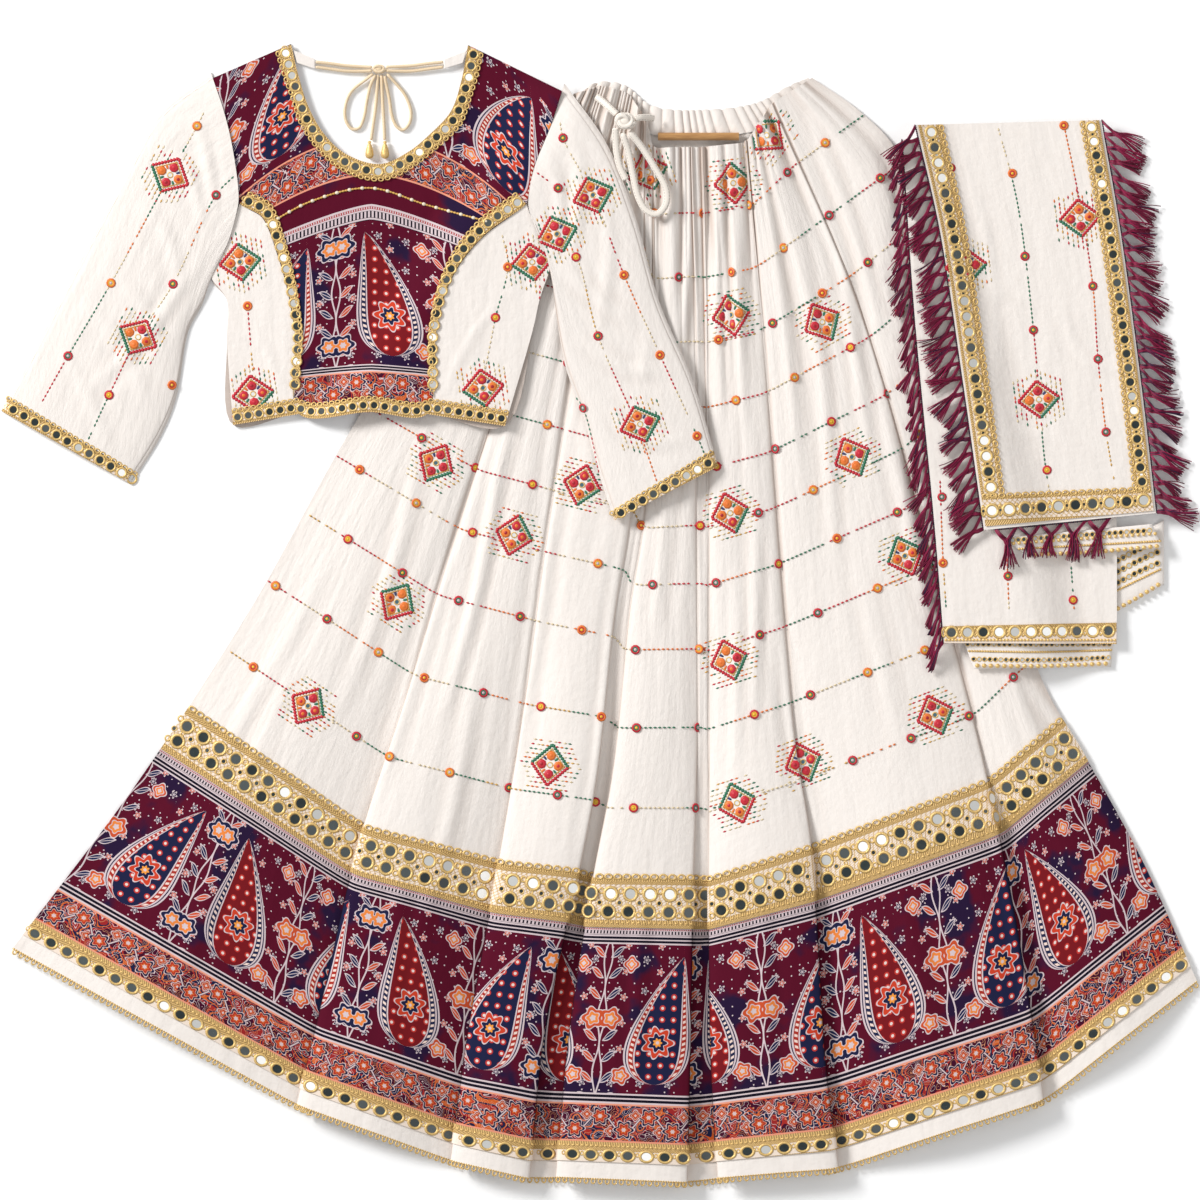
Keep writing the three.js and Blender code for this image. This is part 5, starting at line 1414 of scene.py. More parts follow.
def finishes():
    """The materials, made once."""
    if not MADE:
        sizes = bpy.context.scene.set_sizes
        MADE["cotton"] = cotton("White cotton", tuple(sizes.white))
        # The blouse's back, seen inside the neckline, is the white cotton painted darker: painted shade.
        MADE["lining"] = cotton("Shaded cotton", (0.55, 0.47, 0.42))
        MADE["print"] = print_cloth("Printed border", BORDER_BANDS)
        MADE["blouse_print"] = print_cloth("Printed blouse front", BLOUSE_BANDS)
        gold, white = tuple(sizes.gold), tuple(sizes.white)
        for key, (name, *widths) in LACES.items():
            MADE[key] = lace_ground(name, gold, white, *widths)
        MADE["gold"] = gold_thread(gold)
        MADE["thread"] = thread_finish("Silk stitches")
        MADE["mirror"] = mirror_finish()
        MADE["cord"] = plain("Beige cord", (0.84, 0.66, 0.44), 0.7)
        MADE["tape"] = tape_finish("Cream tape", (0.86, 0.79, 0.71), 21.4)
        MADE["fringe"] = thread_finish("Fringe thread", 0.55)
        MADE["wood"] = wood("Pale wood", (0.5, 0.27, 0.1), (0.3, 0.14, 0.045))
    return MADE


def levels_between(start, end, step):
    return np.linspace(start, end, max(2, int(round((end - start) / step)) + 1))


def band_uv(surface, levels, reference):
    """UVs of the skirt: millimetres across, measured at the border, and millimetres down from the waist."""
    u = np.repeat(reference[None, :], len(levels), axis=0)
    v = np.repeat((np.asarray(levels) * PRINT_RUN)[:, None], surface.shape[1], axis=1)
    return np.stack([u, v], axis=2)


def skirt_surface(levels, lift=0.0):
    """The skirt front with its creases, lifted along its normals."""
    surface = front_grid(levels)
    surface[..., 2] += crease_lift(surface, SKIRT_CREASES)
    return surface + normals_of(surface) * lift if lift else surface


def upper_lace(name, surface, nodes, seed, declare=True):
    rows = [(0.32, 20.0, 8.1, 0.5, 0.25), (0.68, 20.0, 8.1, 0.5, 0.9), (0.5, 20.0, 3.0, 0.0, 1.0)]
    rings = [(0.26, 20.0, (3.4, 3.6, 1.2), 0, 0.0), (0.74, 20.0, (3.4, 3.6, 1.2), 0, 0.0),
             (0.02, 9.6, (4.6, 3.4, 1.2), -2.4, 0.5), (0.5, 20.0, (2.2, 2.6, 1.1), 0, 0.5)]
    lace(name, surface, finishes()["lace"], nodes, rows, rings, [(0.9, 5.2, (1.5, 1.1, 0.8), 0, 0.5)], seed=seed,
         declare=declare)


def lower_lace(name, surface, nodes, seed, declare=True):
    rows = [(0.66, 18.5, (8.0, 6.6), 0.5, 0.7)]
    rings = [(0.6, 18.5, (1.9, 2.6, 1.1), 0, 0.0)]
    lace(name, surface, finishes()["lower_lace"], nodes, rows, rings, [(0.2, 4.6, (1.6, 1.1, 0.8), 0, 0.5)], seed=seed,
         declare=declare)


# The skirt's pieces: levels at which each starts and ends, rows, finish, slot, CAD node and, in front, how it's held.
SEAM_GAP, BACK_GAP, LACE_LIFT = 0.0001, 0.0003, 1.4
SKIRT_FRONT = {
    "skirt_casing": (0, CASING + 3 * SEAM_GAP, 0.006, "cotton", "white_cloth", "skirt_casing_front", "gathered"),
    "skirt_panel": (CASING + SEAM_GAP, BORDER_TOP, 0.0115, "cotton", "white_cloth", "skirt_front_panel", "gathered"),
    "skirt_border": (BORDER_TOP + SEAM_GAP, BORDER_BOTTOM, 0.0095, "print", "printed_cloth", "skirt_border_front",
                     "laid"),
    "skirt_hem_band": (BORDER_BOTTOM + SEAM_GAP, 1, 0.0095, "cotton", "white_cloth", "skirt_hem_band_front", "laid"),
}
SKIRT_BACK = {
    "skirt_back_casing": (0, CASING - BACK_GAP, "cotton", "white_cloth", "skirt_casing_back"),
    "skirt_back": (CASING + BACK_GAP, LACE_TOP - BACK_GAP, "cotton", "white_cloth", "skirt_back_panel"),
    "skirt_back_wide_lace": (LACE_TOP, BORDER_TOP, "lace", "mirror_lace", "skirt_upper_lace_back"),
    "skirt_back_border": (BORDER_TOP + BACK_GAP, BORDER_BOTTOM - BACK_GAP, "print", "printed_cloth",
                          "skirt_border_back"),
    "skirt_back_hem_lace": (BORDER_BOTTOM + BACK_GAP, LACE_BOTTOM - BACK_GAP, "lower_lace", "mirror_lace",
                            "skirt_lower_lace_back"),
    "skirt_back_hem_band": (LACE_BOTTOM + BACK_GAP, 1, "cotton", "white_cloth", "skirt_hem_band_back"),
}


class MakeSkirtFront(bpy.types.Operator):
    """The skirt's folded front: casing, panel, printed border, hem band and laces"""

    bl_idname = "lehenga.skirt_front"
    bl_label = "Skirt front"

    def execute(self, context):
        made = finishes()
        reference = Surface(front_grid([PRINT_LEVEL, PRINT_LEVEL + 0.001])).run[0]
        for name, (start, end, step, finish, slot, node, held) in SKIRT_FRONT.items():
            levels = levels_between(start, end, step)
            surface = skirt_surface(levels)
            cloth(name, surface, made[finish], [node], band_uv(surface, levels, reference))
        hem_edging("skirt_hem", surface)
        upper_lace("skirt_wide_lace", skirt_surface(levels_between(LACE_TOP, BORDER_TOP, 0.007), LACE_LIFT),
                   ["skirt_upper_lace_front"], 3)
        lower_lace("skirt_hem_lace", skirt_surface(levels_between(BORDER_BOTTOM, LACE_BOTTOM, 0.005), LACE_LIFT),
                   ["skirt_lower_lace_front"], 4)
        return {"FINISHED"}


class StitchSkirt(bpy.types.Operator):
    """The skirt's rows of stitches with their rosettes and diamonds"""

    bl_idname = "lehenga.skirt_stitches"
    bl_label = "Skirt stitches"

    def execute(self, context):
        work = Embroidery(11)
        levels = levels_between(0.004, LACE_TOP - 0.004, 0.008)
        surface = skirt_surface(levels)
        drop = dropper(surface)
        sheet = Surface(surface, WALL / 2, levels)
        centres = plan(SKIRT_DIAMONDS)

        def clear(frames, reach):
            apart = np.linalg.norm(frames[0][:, None, :2] - centres[None, :, :2], axis=2)
            return kept(frames, apart.min(axis=1) > reach)

        for k, level in enumerate(SKIRT_ROWS):
            work.dashes(clear(seen_from_above(sheet.spots(level, 4.7), drop), ROW_CLEAR))
            eyes = sheet.spots(level, 63, phase=(0.37 * k + 0.2) % 1)
            work.rosettes(clear(seen_from_above(eyes, drop), EYE_CLEAR))
        for centre in centres:
            work.diamond(centre, self.row_direction(sheet, centre), drop)
        work.finish("skirt_stitches", lift=WALL / 2 + 0.1)
        return {"FINISHED"}

    def row_direction(self, sheet, centre):
        """Direction of the cloth's rows near a place."""
        reach = np.linalg.norm(sheet.points[..., :2] - centre[:2], axis=2)
        row, column = np.unravel_index(np.argmin(reach), reach.shape)
        first, last = max(0, column - 6), min(sheet.points.shape[1] - 1, column + 6)
        along = sheet.points[row, last] - sheet.points[row, first]
        along[2] = 0
        return along


class MakeSkirtBack(bpy.types.Operator):
    """The skirt's back, which lies flat under the front"""

    bl_idname = "lehenga.skirt_back"
    bl_label = "Skirt back"

    def execute(self, context):
        made = finishes()
        reference = Surface(back_grid([PRINT_LEVEL, PRINT_LEVEL + 0.001])).run[0]
        for name, (start, end, finish, slot, node) in SKIRT_BACK.items():
            levels = levels_between(start, end, 0.02)
            surface = back_grid(levels)
            surface[..., 2] = WALL / 2
            if name == "skirt_back_casing":
                levels = np.linspace(start, end, 9)
                surface = back_grid(levels, CASING_COLUMNS)
                column = np.arange(CASING_COLUMNS + 1)
                pleat = np.abs(np.sin(column * 0.3 + 1.4 * np.sin(column * 0.083))) ** 0.7
                pleat *= np.minimum(1, np.minimum(column, CASING_COLUMNS - column) / 20)
                surface[..., 2] = WALL / 2 + CASING_PLEAT * pleat
                surface[..., 1] += (np.linspace(1, 0, 9) ** 2)[:, None] * CASING_FRILL * pleat
            uv = None if "lace" in finish or "casing" in name else band_uv(surface, levels, reference)
            cloth(name, surface, made[finish], [node], uv)
            if name == "skirt_back_hem_lace":
                lower_lace("skirt_back_hem_trim", surface, [], 5, False)
        hem_edging("skirt_back_hem", surface)
        return {"FINISHED"}


# Columns of the blouse front: in all, and where the left princess seam starts and ends.
FRONT_COLUMNS = 2 * (len(FRONT_EDGE) - 1)
SEAM_START = 2 * len(ARMHOLE_LEFT)
SEAM_END = SEAM_START + 2 * (len(PRINCESS_LEFT) - 1)
FRONT_BEADS = [(267, 224.5), (312, 201), (370, 188), (427, 205), (489, 222)]
# Sizes of a scallop and of the small eyes in the blouse's laces.
SCALLOP, EYE = (3.3, 2.6, 1.0), (2.0, 3.0, 1.0)


def side_panel(edges):
    """The middle surface of a side panel, with its wrinkles fading out at the edges."""
    u, v = np.linspace(0, 1, 40), np.linspace(0, 1, 80)
    surface = patch_grid(edges, u, v, front_height)
    inner = np.minimum(1, np.minimum(u, 1 - u) * 6)[None, :] * np.minimum(1, np.minimum(v, 1 - v) * 8)[:, None]
    surface[..., 2] += WALL / 2 + np.maximum(0, crease_lift(surface, BLOUSE_CREASES)) * inner
    return surface


def blouse_lift(p):
    return front_height(p) + WALL + 0.8


def edge_strip(start, end, number, near, far):
    """A strip of the blouse front along its neckline or outer edge. near and far are widths from that edge."""
    u = np.linspace(start, end, number) / FRONT_COLUMNS
    length = np.linalg.norm(at_share(plan(FRONT_EDGE), u) - at_share(plan(NECK), u), axis=1)
    first, last = (near / length, far / length) if near >= 0 else (1 + near / length, 1 + far / length)
    down = mix(first[None], last[None], np.linspace(0, 1, 5)[:, None])
    return horseshoe(FRONT_EDGE, u, down, blouse_lift)


def hem_strip(width):
    """The strip along the blouse's hem, from side seam to side seam."""
    centre = at_share(plan(FRONT_EDGE), np.linspace(SEAM_END, FRONT_COLUMNS - SEAM_END, 60) / FRONT_COLUMNS)
    left = mix(plan([SIDE_LEFT[-1]]), centre[:1], np.linspace(0, 1, 30)[:-1, None])
    right = mix(centre[-1:], plan([SIDE_RIGHT[-1]]), np.linspace(0, 1, 36)[1:, None])
    bottom = np.concatenate([left, centre, right])
    share = np.linspace(0, 1, len(bottom))[:, None]
    up = mix(np.array([[-1.2, 14, 0]]), np.array([[3.9, 13.4, 0]]), ease(share, 0.2, 1)) * width / 14
    surface = mix(bottom[None] + up[None], bottom[None], np.linspace(0, 1, 5)[:, None, None])
    surface[..., 2] = blouse_lift(surface)
    return surface


def choli_front_grid():
    """The middle surface of the blouse's printed front."""
    return horseshoe(FRONT_EDGE, np.linspace(0, 1, 145), np.linspace(0, 1, 54), front_height) + (0, 0, WALL / 2)


class MakeBlouse(bpy.types.Operator):
    """The blouse: back, printed front, side panels, sleeves and laces"""

    bl_idname = "lehenga.blouse"
    bl_label = "Blouse"

    def execute(self, context):
        made = finishes()
        back = horseshoe(BACK_EDGE, np.linspace(0, 1, 145), np.linspace(0, 1, 40), on_skirt_left) + (0, 0, WALL / 2)
        # The back is cloth in painted shade, darker than the rest of the cotton.
        cloth("choli_back_cloth", back, made["lining"], ["choli_back"])
        front = choli_front_grid()
        cloth("choli_front", front, made["blouse_print"], ["choli_front_centre"], peaked_uv(front))
        row, eyes = [(0.5, 11.6, 5.8, 0.5, 0.5)], (0.5, 11.6, EYE, 0, 0.0)
        outer, inner = [(0.96, 6.2, SCALLOP, 0.8, 0.5), eyes], [(0.04, 6.2, SCALLOP, -0.8, 0.5), eyes]
        trims = [
            ("neck_trim", "neck_lace", edge_strip(0.06, FRONT_COLUMNS - 0.06, 220, 0, 15), row, outer),
            ("side_trim_left", "princess_lace_left",
             edge_strip(SEAM_START, SEAM_END - 0.6, 110, -14, -0.2), row, inner),
            ("side_trim_right", "princess_lace_right",
             edge_strip(FRONT_COLUMNS - SEAM_END + 0.6, FRONT_COLUMNS - SEAM_START, 110, -14, -0.2), row, inner),
            ("hem_trim", "hem_lace", hem_strip(14), [(0.5, 10.6, 5.2, 0.5, 0.95)], [(0.04, 6.2, SCALLOP, -0.6, 0.5)]),
        ]
        for seed, (name, node, strip, mirrors, rings) in enumerate(trims, 21):
            lace(f"choli_{name}", strip, made["narrow_lace"], [f"choli_{node}"], mirrors, rings, seed=seed)
        for side, edges in choli_sides().items():
            panel = side_panel(edges)
            cloth(f"choli_panel_{side}", panel, made["cotton"], [f"choli_side_{side}"], sheet_uv(panel))
        for side in SLEEVES:
            for name, span, finish, slot, node in (
                    ("choli_arm", (0, 0.962), "cotton", "white_cloth", "choli_sleeve"),
                    ("choli_cuff", (0.9645, 1), "narrow_lace", "mirror_lace", "choli_cuff_lace")):
                tube = sleeve_grid(side, np.linspace(*span, 70 if finish == "cotton" else 6))
                piece = cloth(f"{name}_{side}", tube, made[finish], [f"{node}_{side}"], offset=-1.0)
                bm = bmesh.new()
                bm.from_mesh(piece.data)
                bmesh.ops.remove_doubles(bm, verts=bm.verts, dist=1e-6)
                bm.to_mesh(piece.data)
                bm.free()
            lace(f"choli_cuff_trim_{side}", tube, None, [], [(0.5, 12.5, 5.8, 0.5, 0.5)],
                 [(0.02, 6.4, SCALLOP, -0.8, 0.5), (0.5, 12.5, EYE, 0, 0.0)], seed=25, wall=0.2, declare=False)
        return {"FINISHED"}


class StitchBlouse(bpy.types.Operator):
    """The stitched lines, rosettes and diamonds of the blouse"""

    bl_idname = "lehenga.blouse_stitches"
    bl_label = "Blouse stitches"

    def execute(self, context):
        work = Embroidery(12)
        for side, edges in choli_sides().items():
            drop = dropper(side_panel(edges) + (0, 0, WALL / 2))
            for path in BLOUSE_LINES[side]:
                stitched_line(work, path, drop)
            for spot in PANEL_ROSETTES[side]:
                work.rosettes(drop(plan([spot]))[0])
            for centre in plan(PANEL_DIAMONDS[side]):
                work.diamond(centre, (0.15, -1, 0), drop)
        for side in SLEEVES:
            tube = sleeve_grid(side, np.linspace(0, 0.955, 70))
            drop = dropper(tube)
            outer = plan(SLEEVES[side][0]), plan(SLEEVES[side][1])
            centres = plan(SLEEVE_DIAMONDS[side])
            for path in SLEEVE_LINES[side]:
                stitched_line(work, path, drop, 4.6, centres)
            work.rosettes(drop(plan(SLEEVE_ROSETTES[side]))[0])
            aim = (outer[0][-1] + outer[1][-1] - outer[0][0] - outer[1][0]) / 2
            for centre in centres:
                work.diamond(centre, (aim[0], aim[1], 0), drop)
        work.finish("choli_stitches", lift=0.1)
        drop = dropper(choli_front_grid() + (0, 0, WALL / 2))
        points = at_length(plan(FRONT_BEADS), np.linspace(0, 1, 74))[0]
        frames = drop(points, headings(points))[0]
        sizes = [(2.0, 1.1, 0.9) if k % 4 else (2.3, 1.9, 1.5) for k in range(len(frames[0]))]
        tones = [GOLD_THREAD if k % 4 else (0.9, 0.8, 0.62) for k in range(len(frames[0]))]
        stamp("choli_front_beads", template(bead_shape), frames, sizes, [finishes()["thread"]], tones,
              0.3)
        return {"FINISHED"}


def sheet_uv(surface):
    """UVs that are sheet millimetres, for a piece that lies almost flat."""
    return np.stack([surface[..., 0] + SHEET[0], SHEET[1] - surface[..., 1]], axis=2)


def peaked_uv(surface):
    """UVs of the blouse front: its bands peak at the middle and sag to the sides, less so towards the hem."""
    x, y = np.moveaxis(sheet_uv(surface), 2, 0)
    off = np.abs(x - 371) / 100
    level = y
    for _ in range(8):
        level = y - np.interp(level, [205, 370], [34, 9]) * off ** np.interp(level, [150, 205], [2, 1.3])
    return np.stack([x, level], axis=2)


def choli_sides():
    """Left and right edges of the two side panels. The inner edges follow the princess seams."""
    edge = at_share(plan(FRONT_EDGE), np.arange(FRONT_COLUMNS + 1) / FRONT_COLUMNS)
    sheet = [(x + SHEET[0], SHEET[1] - y) for x, y, _ in edge]
    left = [(x - 0.6, y) for x, y in sheet[SEAM_START:SEAM_END + 1]]
    right = [(x + 0.6, y) for x, y in sheet[FRONT_COLUMNS - SEAM_END:FRONT_COLUMNS - SEAM_START + 1]][::-1]
    return {"left": (UNDERARM_LEFT + SIDE_LEFT, left), "right": (right, UNDERARM_RIGHT + SIDE_RIGHT)}


def stack_grid(paths, thickness, lift, upper=True):
    """The upper or the lower surface of a rounded stack of folded layers."""
    def height(p, u, v):
        bed = on_skirt_right(p)
        rounded = np.sqrt(np.minimum(1, np.minimum(np.minimum(u, 1 - u), np.minimum(v, 1 - v)) * 8))
        rise = thickness * (0.6 + 0.4 * rounded if upper else 0.25 * (1 - rounded))
        return bed + (parting(bed) + lift if lift > 0 else 0) + rise

    return patch_grid(paths, np.linspace(0, 1, 40), np.linspace(0, 1, 30), height)


def stack_mesh(name, surfaces):
    """A stack of folded layers: an upper and a lower grid joined at their rims."""
    bm = bmesh.new()
    rims = []
    for surface in surfaces:
        before = len(bm.verts)
        bmesh.ops.create_grid(bm, x_segments=surface.shape[1] - 1, y_segments=surface.shape[0] - 1, size=1)
        bm.verts.ensure_lookup_table()
        verts = bm.verts[before:]
        for vert, place in zip(verts, surface[::-1].reshape(-1, 3) * MM):
            vert.co = place
        rims += [e for e in {e for v in verts for e in v.link_edges} if e.is_boundary]
    bmesh.ops.bridge_loops(bm, edges=rims)
    flat_uv(bm)
    bmesh.ops.recalc_face_normals(bm, faces=bm.faces)
    mesh = mesh_of(bm, name)
    smooth(mesh)
    return mesh


def whole_layer(which, number):
    """One of the stole's open layers from edge to edge, in a number of columns and rows."""
    return stole_layer(which, np.linspace(0, 1, number[0]), np.linspace(0, 1, number[1]))


def stole_layer(which, across, down, lift=0.0):
    """The middle surface of one of the stole's two open layers, with its soft waves."""
    paths, rise = {"top": (STOLE_TOP, TOP_LIFT), "middle": (STOLE_MIDDLE, MIDDLE_LIFT)}[which]

    def height(p, u, v):
        bed = on_skirt_right(p)
        return bed + parting(bed) + rise + WALL / 2 + lift

    surface = patch_grid(paths, across, down, height)
    if which == "top":
        surface[..., 2] += np.maximum(0, crease_lift(surface, STOLE_CREASES))
    return surface


STOLE_PIECES = [("dupatta_stack", STOLE_STACK, STACK, 0, "dupatta_hidden_layers"),
                ("dupatta_under", STOLE_UNDER, FOLDED * 2, 0, "dupatta_under_fold"),
                ("dupatta_right", STOLE_RIGHT, FOLDED * 2, 0, "dupatta_right_fold"),
                ("dupatta_upper", STOLE_UPPER, FOLDED, UPPER_LIFT, "dupatta_upper_fold")]
# The stole's laces: finish, CAD node, and rows of mirrors, rings and beads.
STOLE_LACES = {
    "left": ("left_lace", "dupatta_top_lace_left", [(0.5, 15.5, 7.1, 0.5, 0.45), (0.5, 15.5, 2.4, 0.0, 0.9)],
             [(0.5, 15.5, (2.6, 6.2, 1.1), 0, 0.0), (0.98, 8.0, (4.0, 2.9, 1.1), 0.6, 0.5)]),
    "right": ("right_lace", "dupatta_top_lace_right", [(0.5, 14.5, 6.3, 0.5, 0.75), (0.5, 14.5, 2.2, 0.0, 0.9)],
              [(0.5, 14.5, (2.4, 5.0, 1.1), 0, 0.0), (0.04, 7.6, (3.8, 2.8, 1.1), -0.6, 0.5)]),
    "foot": ("foot_lace", "dupatta_top_lace_bottom", [(0.5, 16.5, 7.6, 0.5, 0.4), (0.5, 16.5, 2.4, 0.0, 0.9)],
             [(0.5, 16.5, (2.6, 6.6, 1.1), 0, 0.0), (0.04, 8.2, (4.0, 3.0, 1.1), -0.8, 0.5)]),
    "back": ("lower_lace", "dupatta_middle_lace", [(0.38, 16, 7.2, 0.5, 0.4)],
             [(0.38, 16, (2.4, 5.4, 1.1), 0, 0.0)], [(0.82, 3.4, (1.6, 1.6, 1.2), 0, 0.5)]),
}
# Columns and rows of the stole's layers: as cloth, under its stitches and along its fringe.
STOLE_CLOTH, STOLE_STITCHES, STOLE_EDGES = (76, 150), (60, 120), (40, 80)
# Shares of the top layer's width and length that its side and end laces take up.
LEFT_LACE, RIGHT_LACE, FOOT_LACE = 24 / 180, 19 / 180, 29 / 400


class MakeStole(bpy.types.Operator):
    """The folded stole: its stack of layers, the ones that show, and their laces"""

    bl_idname = "lehenga.stole"
    bl_label = "Stole"

    def execute(self, context):
        made = finishes()
        for name, paths, thick, lift, node in STOLE_PIECES:
            mesh = stack_mesh(name, [stack_grid(paths, thick, lift, upper) for upper in (True, False)])
            piece = new_piece(name, mesh, [made["cotton"]], [node])
            u = np.linspace(0, 1, 12)
            flat = flat_size(patch_grid(paths, u, u, lambda p, a, b: 0 * p[..., 0]))
        for which in ("middle", "top"):
            surface = whole_layer(which, STOLE_CLOTH)
            cloth(f"dupatta_{which}", surface, made["cotton"], [f"dupatta_{which}_layer"])
        down = np.linspace(0, 1 - FOOT_LACE - 0.0015, 150)
        left, right = np.linspace(0.012, LEFT_LACE, 7), np.linspace(1 - RIGHT_LACE, 0.988, 7)
        strips = {
            "left": stole_layer("top", left, down, LACE_LIFT).transpose(1, 0, 2),
            "right": stole_layer("top", right, down, LACE_LIFT).transpose(1, 0, 2),
            "foot": stole_layer("top", np.linspace(0.012, 0.988, 130), np.linspace(1 - FOOT_LACE, 0.9925, 7),
                                LACE_LIFT),
            "back": stole_layer("middle", np.linspace(0.003, 0.997, 130), np.linspace(0.95, 1, 6), LACE_LIFT),
        }
        for seed, (side, (finish, node, *rows)) in enumerate(STOLE_LACES.items(), 31):
            lace(f"dupatta_{side}_trim", strips[side], made[finish], [node], *rows, seed=seed)
        self.bead_rows()
        return {"FINISHED"}

    def bead_rows(self):
        """Gold cords, mirrors with mostly dark painted reflections, and hanging beads along the folds that peep out.
        """
        made = finishes()
        stacks = {name: shape for name, *shape, _ in STOLE_PIECES}
        for name, lines in FOLD_ROWS.items():
            drop = dropper(stack_grid(*stacks[name]))
            for number, (kind, pitch, size, path) in enumerate(lines):
                points = dotted(plan(path), pitch)
                frames = drop(points, headings(points))[0]
                if kind == "mirror":
                    # Painted reflections for the mirrors, mostly dark, in a fixed order.
                    tones = [MIRROR_REFLECTIONS[k * 3 % 4] for k in range(len(frames[0]))]
                    stamp(f"{name}_mirrors_{number}", template(mirror_shape), frames, (size, size, 1.1),
                          [made["mirror"], made["gold"]], tones, 0.2)
                else:
                    shape = stitch_shape if kind == "cord" else bead_shape
                    sizes = (pitch * 0.8, size, size * 0.8) if kind == "cord" else (size, size, size * 0.9)
                    stamp(f"{name}_{kind}_{number}", template(shape), frames, sizes, [made["gold"]],
                          lift=0.3)


class StitchStole(bpy.types.Operator):
    """The stitched lines, rosettes and diamonds of the stole"""

    bl_idname = "lehenga.stole_stitches"
    bl_label = "Stole stitches"

    def execute(self, context):
        work = Embroidery(13)
        drop = dropper(whole_layer("top", STOLE_STITCHES))
        centres = plan(STOLE_DIAMONDS)
        for path in STOLE_LINES:
            stitched_line(work, path, drop, 4.4, centres, 12)
        work.rosettes(drop(plan(STOLE_ROSETTES))[0], 4.8)
        for centre in centres:
            work.diamond(centre, (0.12, -1, 0), drop)
        work.finish("dupatta_stitches", lift=WALL / 2 + 0.1)
        low = Embroidery(14)
        drop = dropper(whole_layer("middle", STOLE_STITCHES))
        for spot in UNDER_ROSETTES:
            low.rosettes(drop(plan([spot]))[0], 4.8)
        for path in UNDER_LINES:
            stitched_line(low, path, drop, 4.4)
        low.finish("dupatta_under_stitches", lift=WALL / 2 + 0.1)
        return {"FINISHED"}


class MakeFringe(bpy.types.Operator):
    """The maroon fringe along three of the stole's edges and at the foot of its top layer"""

    bl_idname = "lehenga.fringe"
    bl_label = "Fringe"

    def execute(self, context):
        random = np.random.default_rng(7)
        threads = context.scene.set_sizes.threads
        for name, layer, edge, start, end, tassels, bundle, length, aim, end_height in FRINGES:
            surface = whole_layer(layer, STOLE_EDGES)
            line = {"left": surface[:, 0], "right": surface[:, -1], "bottom": surface[-1]}[edge].copy()
            out = {"left": (-1, 0, 0), "right": (1, 0, 0), "bottom": (0, -1, 0)}[edge]
            line += np.array(out) * 0.9
            aim = unit(np.array([aim[0], -aim[1], 0.0]))
            shares = start + (end - start) * (np.arange(tassels) + 0.5) / tassels
            roots = at_length(line, shares)[0]
            gap = at_length(line, [0])[1] * (end - start) / tassels
            paths, tones = [], []
            for k, root in enumerate(roots):
                before, after = at_length(line, np.clip([shares[k] - 0.01, shares[k] + 0.01], 0, 1))[0]
                along = unit(after - before)
                lean = random.normal(0, 0.13)
                whole = length * random.uniform(0.76, 1.05)
                sway, turn = random.uniform(1.0, 2.2), random.uniform(0, 6.28)
                for t in range(threads * 2):
                    spread = (t + 0.5) / (threads * 2) - 0.5
                    reach = whole * random.uniform(0.9, 1.03)
                    leg = (1 if t % 2 else -1) * gap * 0.42
                    start_at = root + along * (spread * bundle * 0.5 + leg)
                    waist = root + aim * reach * 0.36 + along * (spread * 5 + lean * 8)
                    waist[2] += random.uniform(-0.4, 2.0)
                    tip = root + unit(aim + along * (lean + spread * 0.5 + random.normal(0, 0.07))) * reach
                    bed = on_skirt_right(tip[None])[0]
                    tip[2] = max(bed + parting(bed) + end_height + random.uniform(-0.4, 1.2), 1.2)
                    bend = np.array([start_at, mix(start_at, waist, 0.5), waist, mix(waist, tip, 0.5), tip])
                    path = at_share(bend, np.linspace(0, 1, 8))
                    step = np.linspace(0, 1, 8)[:, None]
                    path += along * sway * np.sin(step * 5.6 + turn + spread) * step ** 0.5
                    paths.append(path)
                    tones.append(FRINGE_TONES[random.choice(4, p=[0.35, 0.3, 0.25, 0.1])])
            strung(name, template(thread_shape), paths, 0.66, finishes()["fringe"], tones)
            points = dotted(line, 1.9, start, end)
            turned = unit(np.gradient(points, axis=0) + np.array([0.35, 0, 0]))
            frames = (points, np.tile([0, 0, 1.0], (len(points), 1)), turned)
            tones = [(0.06, 0.004, 0.02) if k % 2 else (0.015, 0.012, 0.04) for k in range(len(points))]
            stamp(f"{name}_binding", template(stitch_shape), frames, (1.8, 1.0, 1.0), [finishes()["fringe"]],
                  tones)
        return {"FINISHED"}


class MakeBar(bpy.types.Operator):
    """The wooden bar inside the waist, with turned ends"""

    bl_idname = "lehenga.bar"
    bl_label = "Waist bar"

    def execute(self, context):
        bar = bpy.data.objects["waist_bar"]
        for slot in bar.material_slots:
            slot.material = finishes()["wood"]
        return {"FINISHED"}


# Radii of the neck cord and the tape, and a tassel's section: radius and distance down.
CORD, TAPE = 1.5, 3.4
TASSEL = [(0.4, 0), (1.5, 0.5), (1.8, 1.8), (1.2, 2.8), (1.9, 4.4), (2.9, 8), (3.6, 12), (3.7, 14.5), (2.8, 16.8),
          (0.8, 18)]


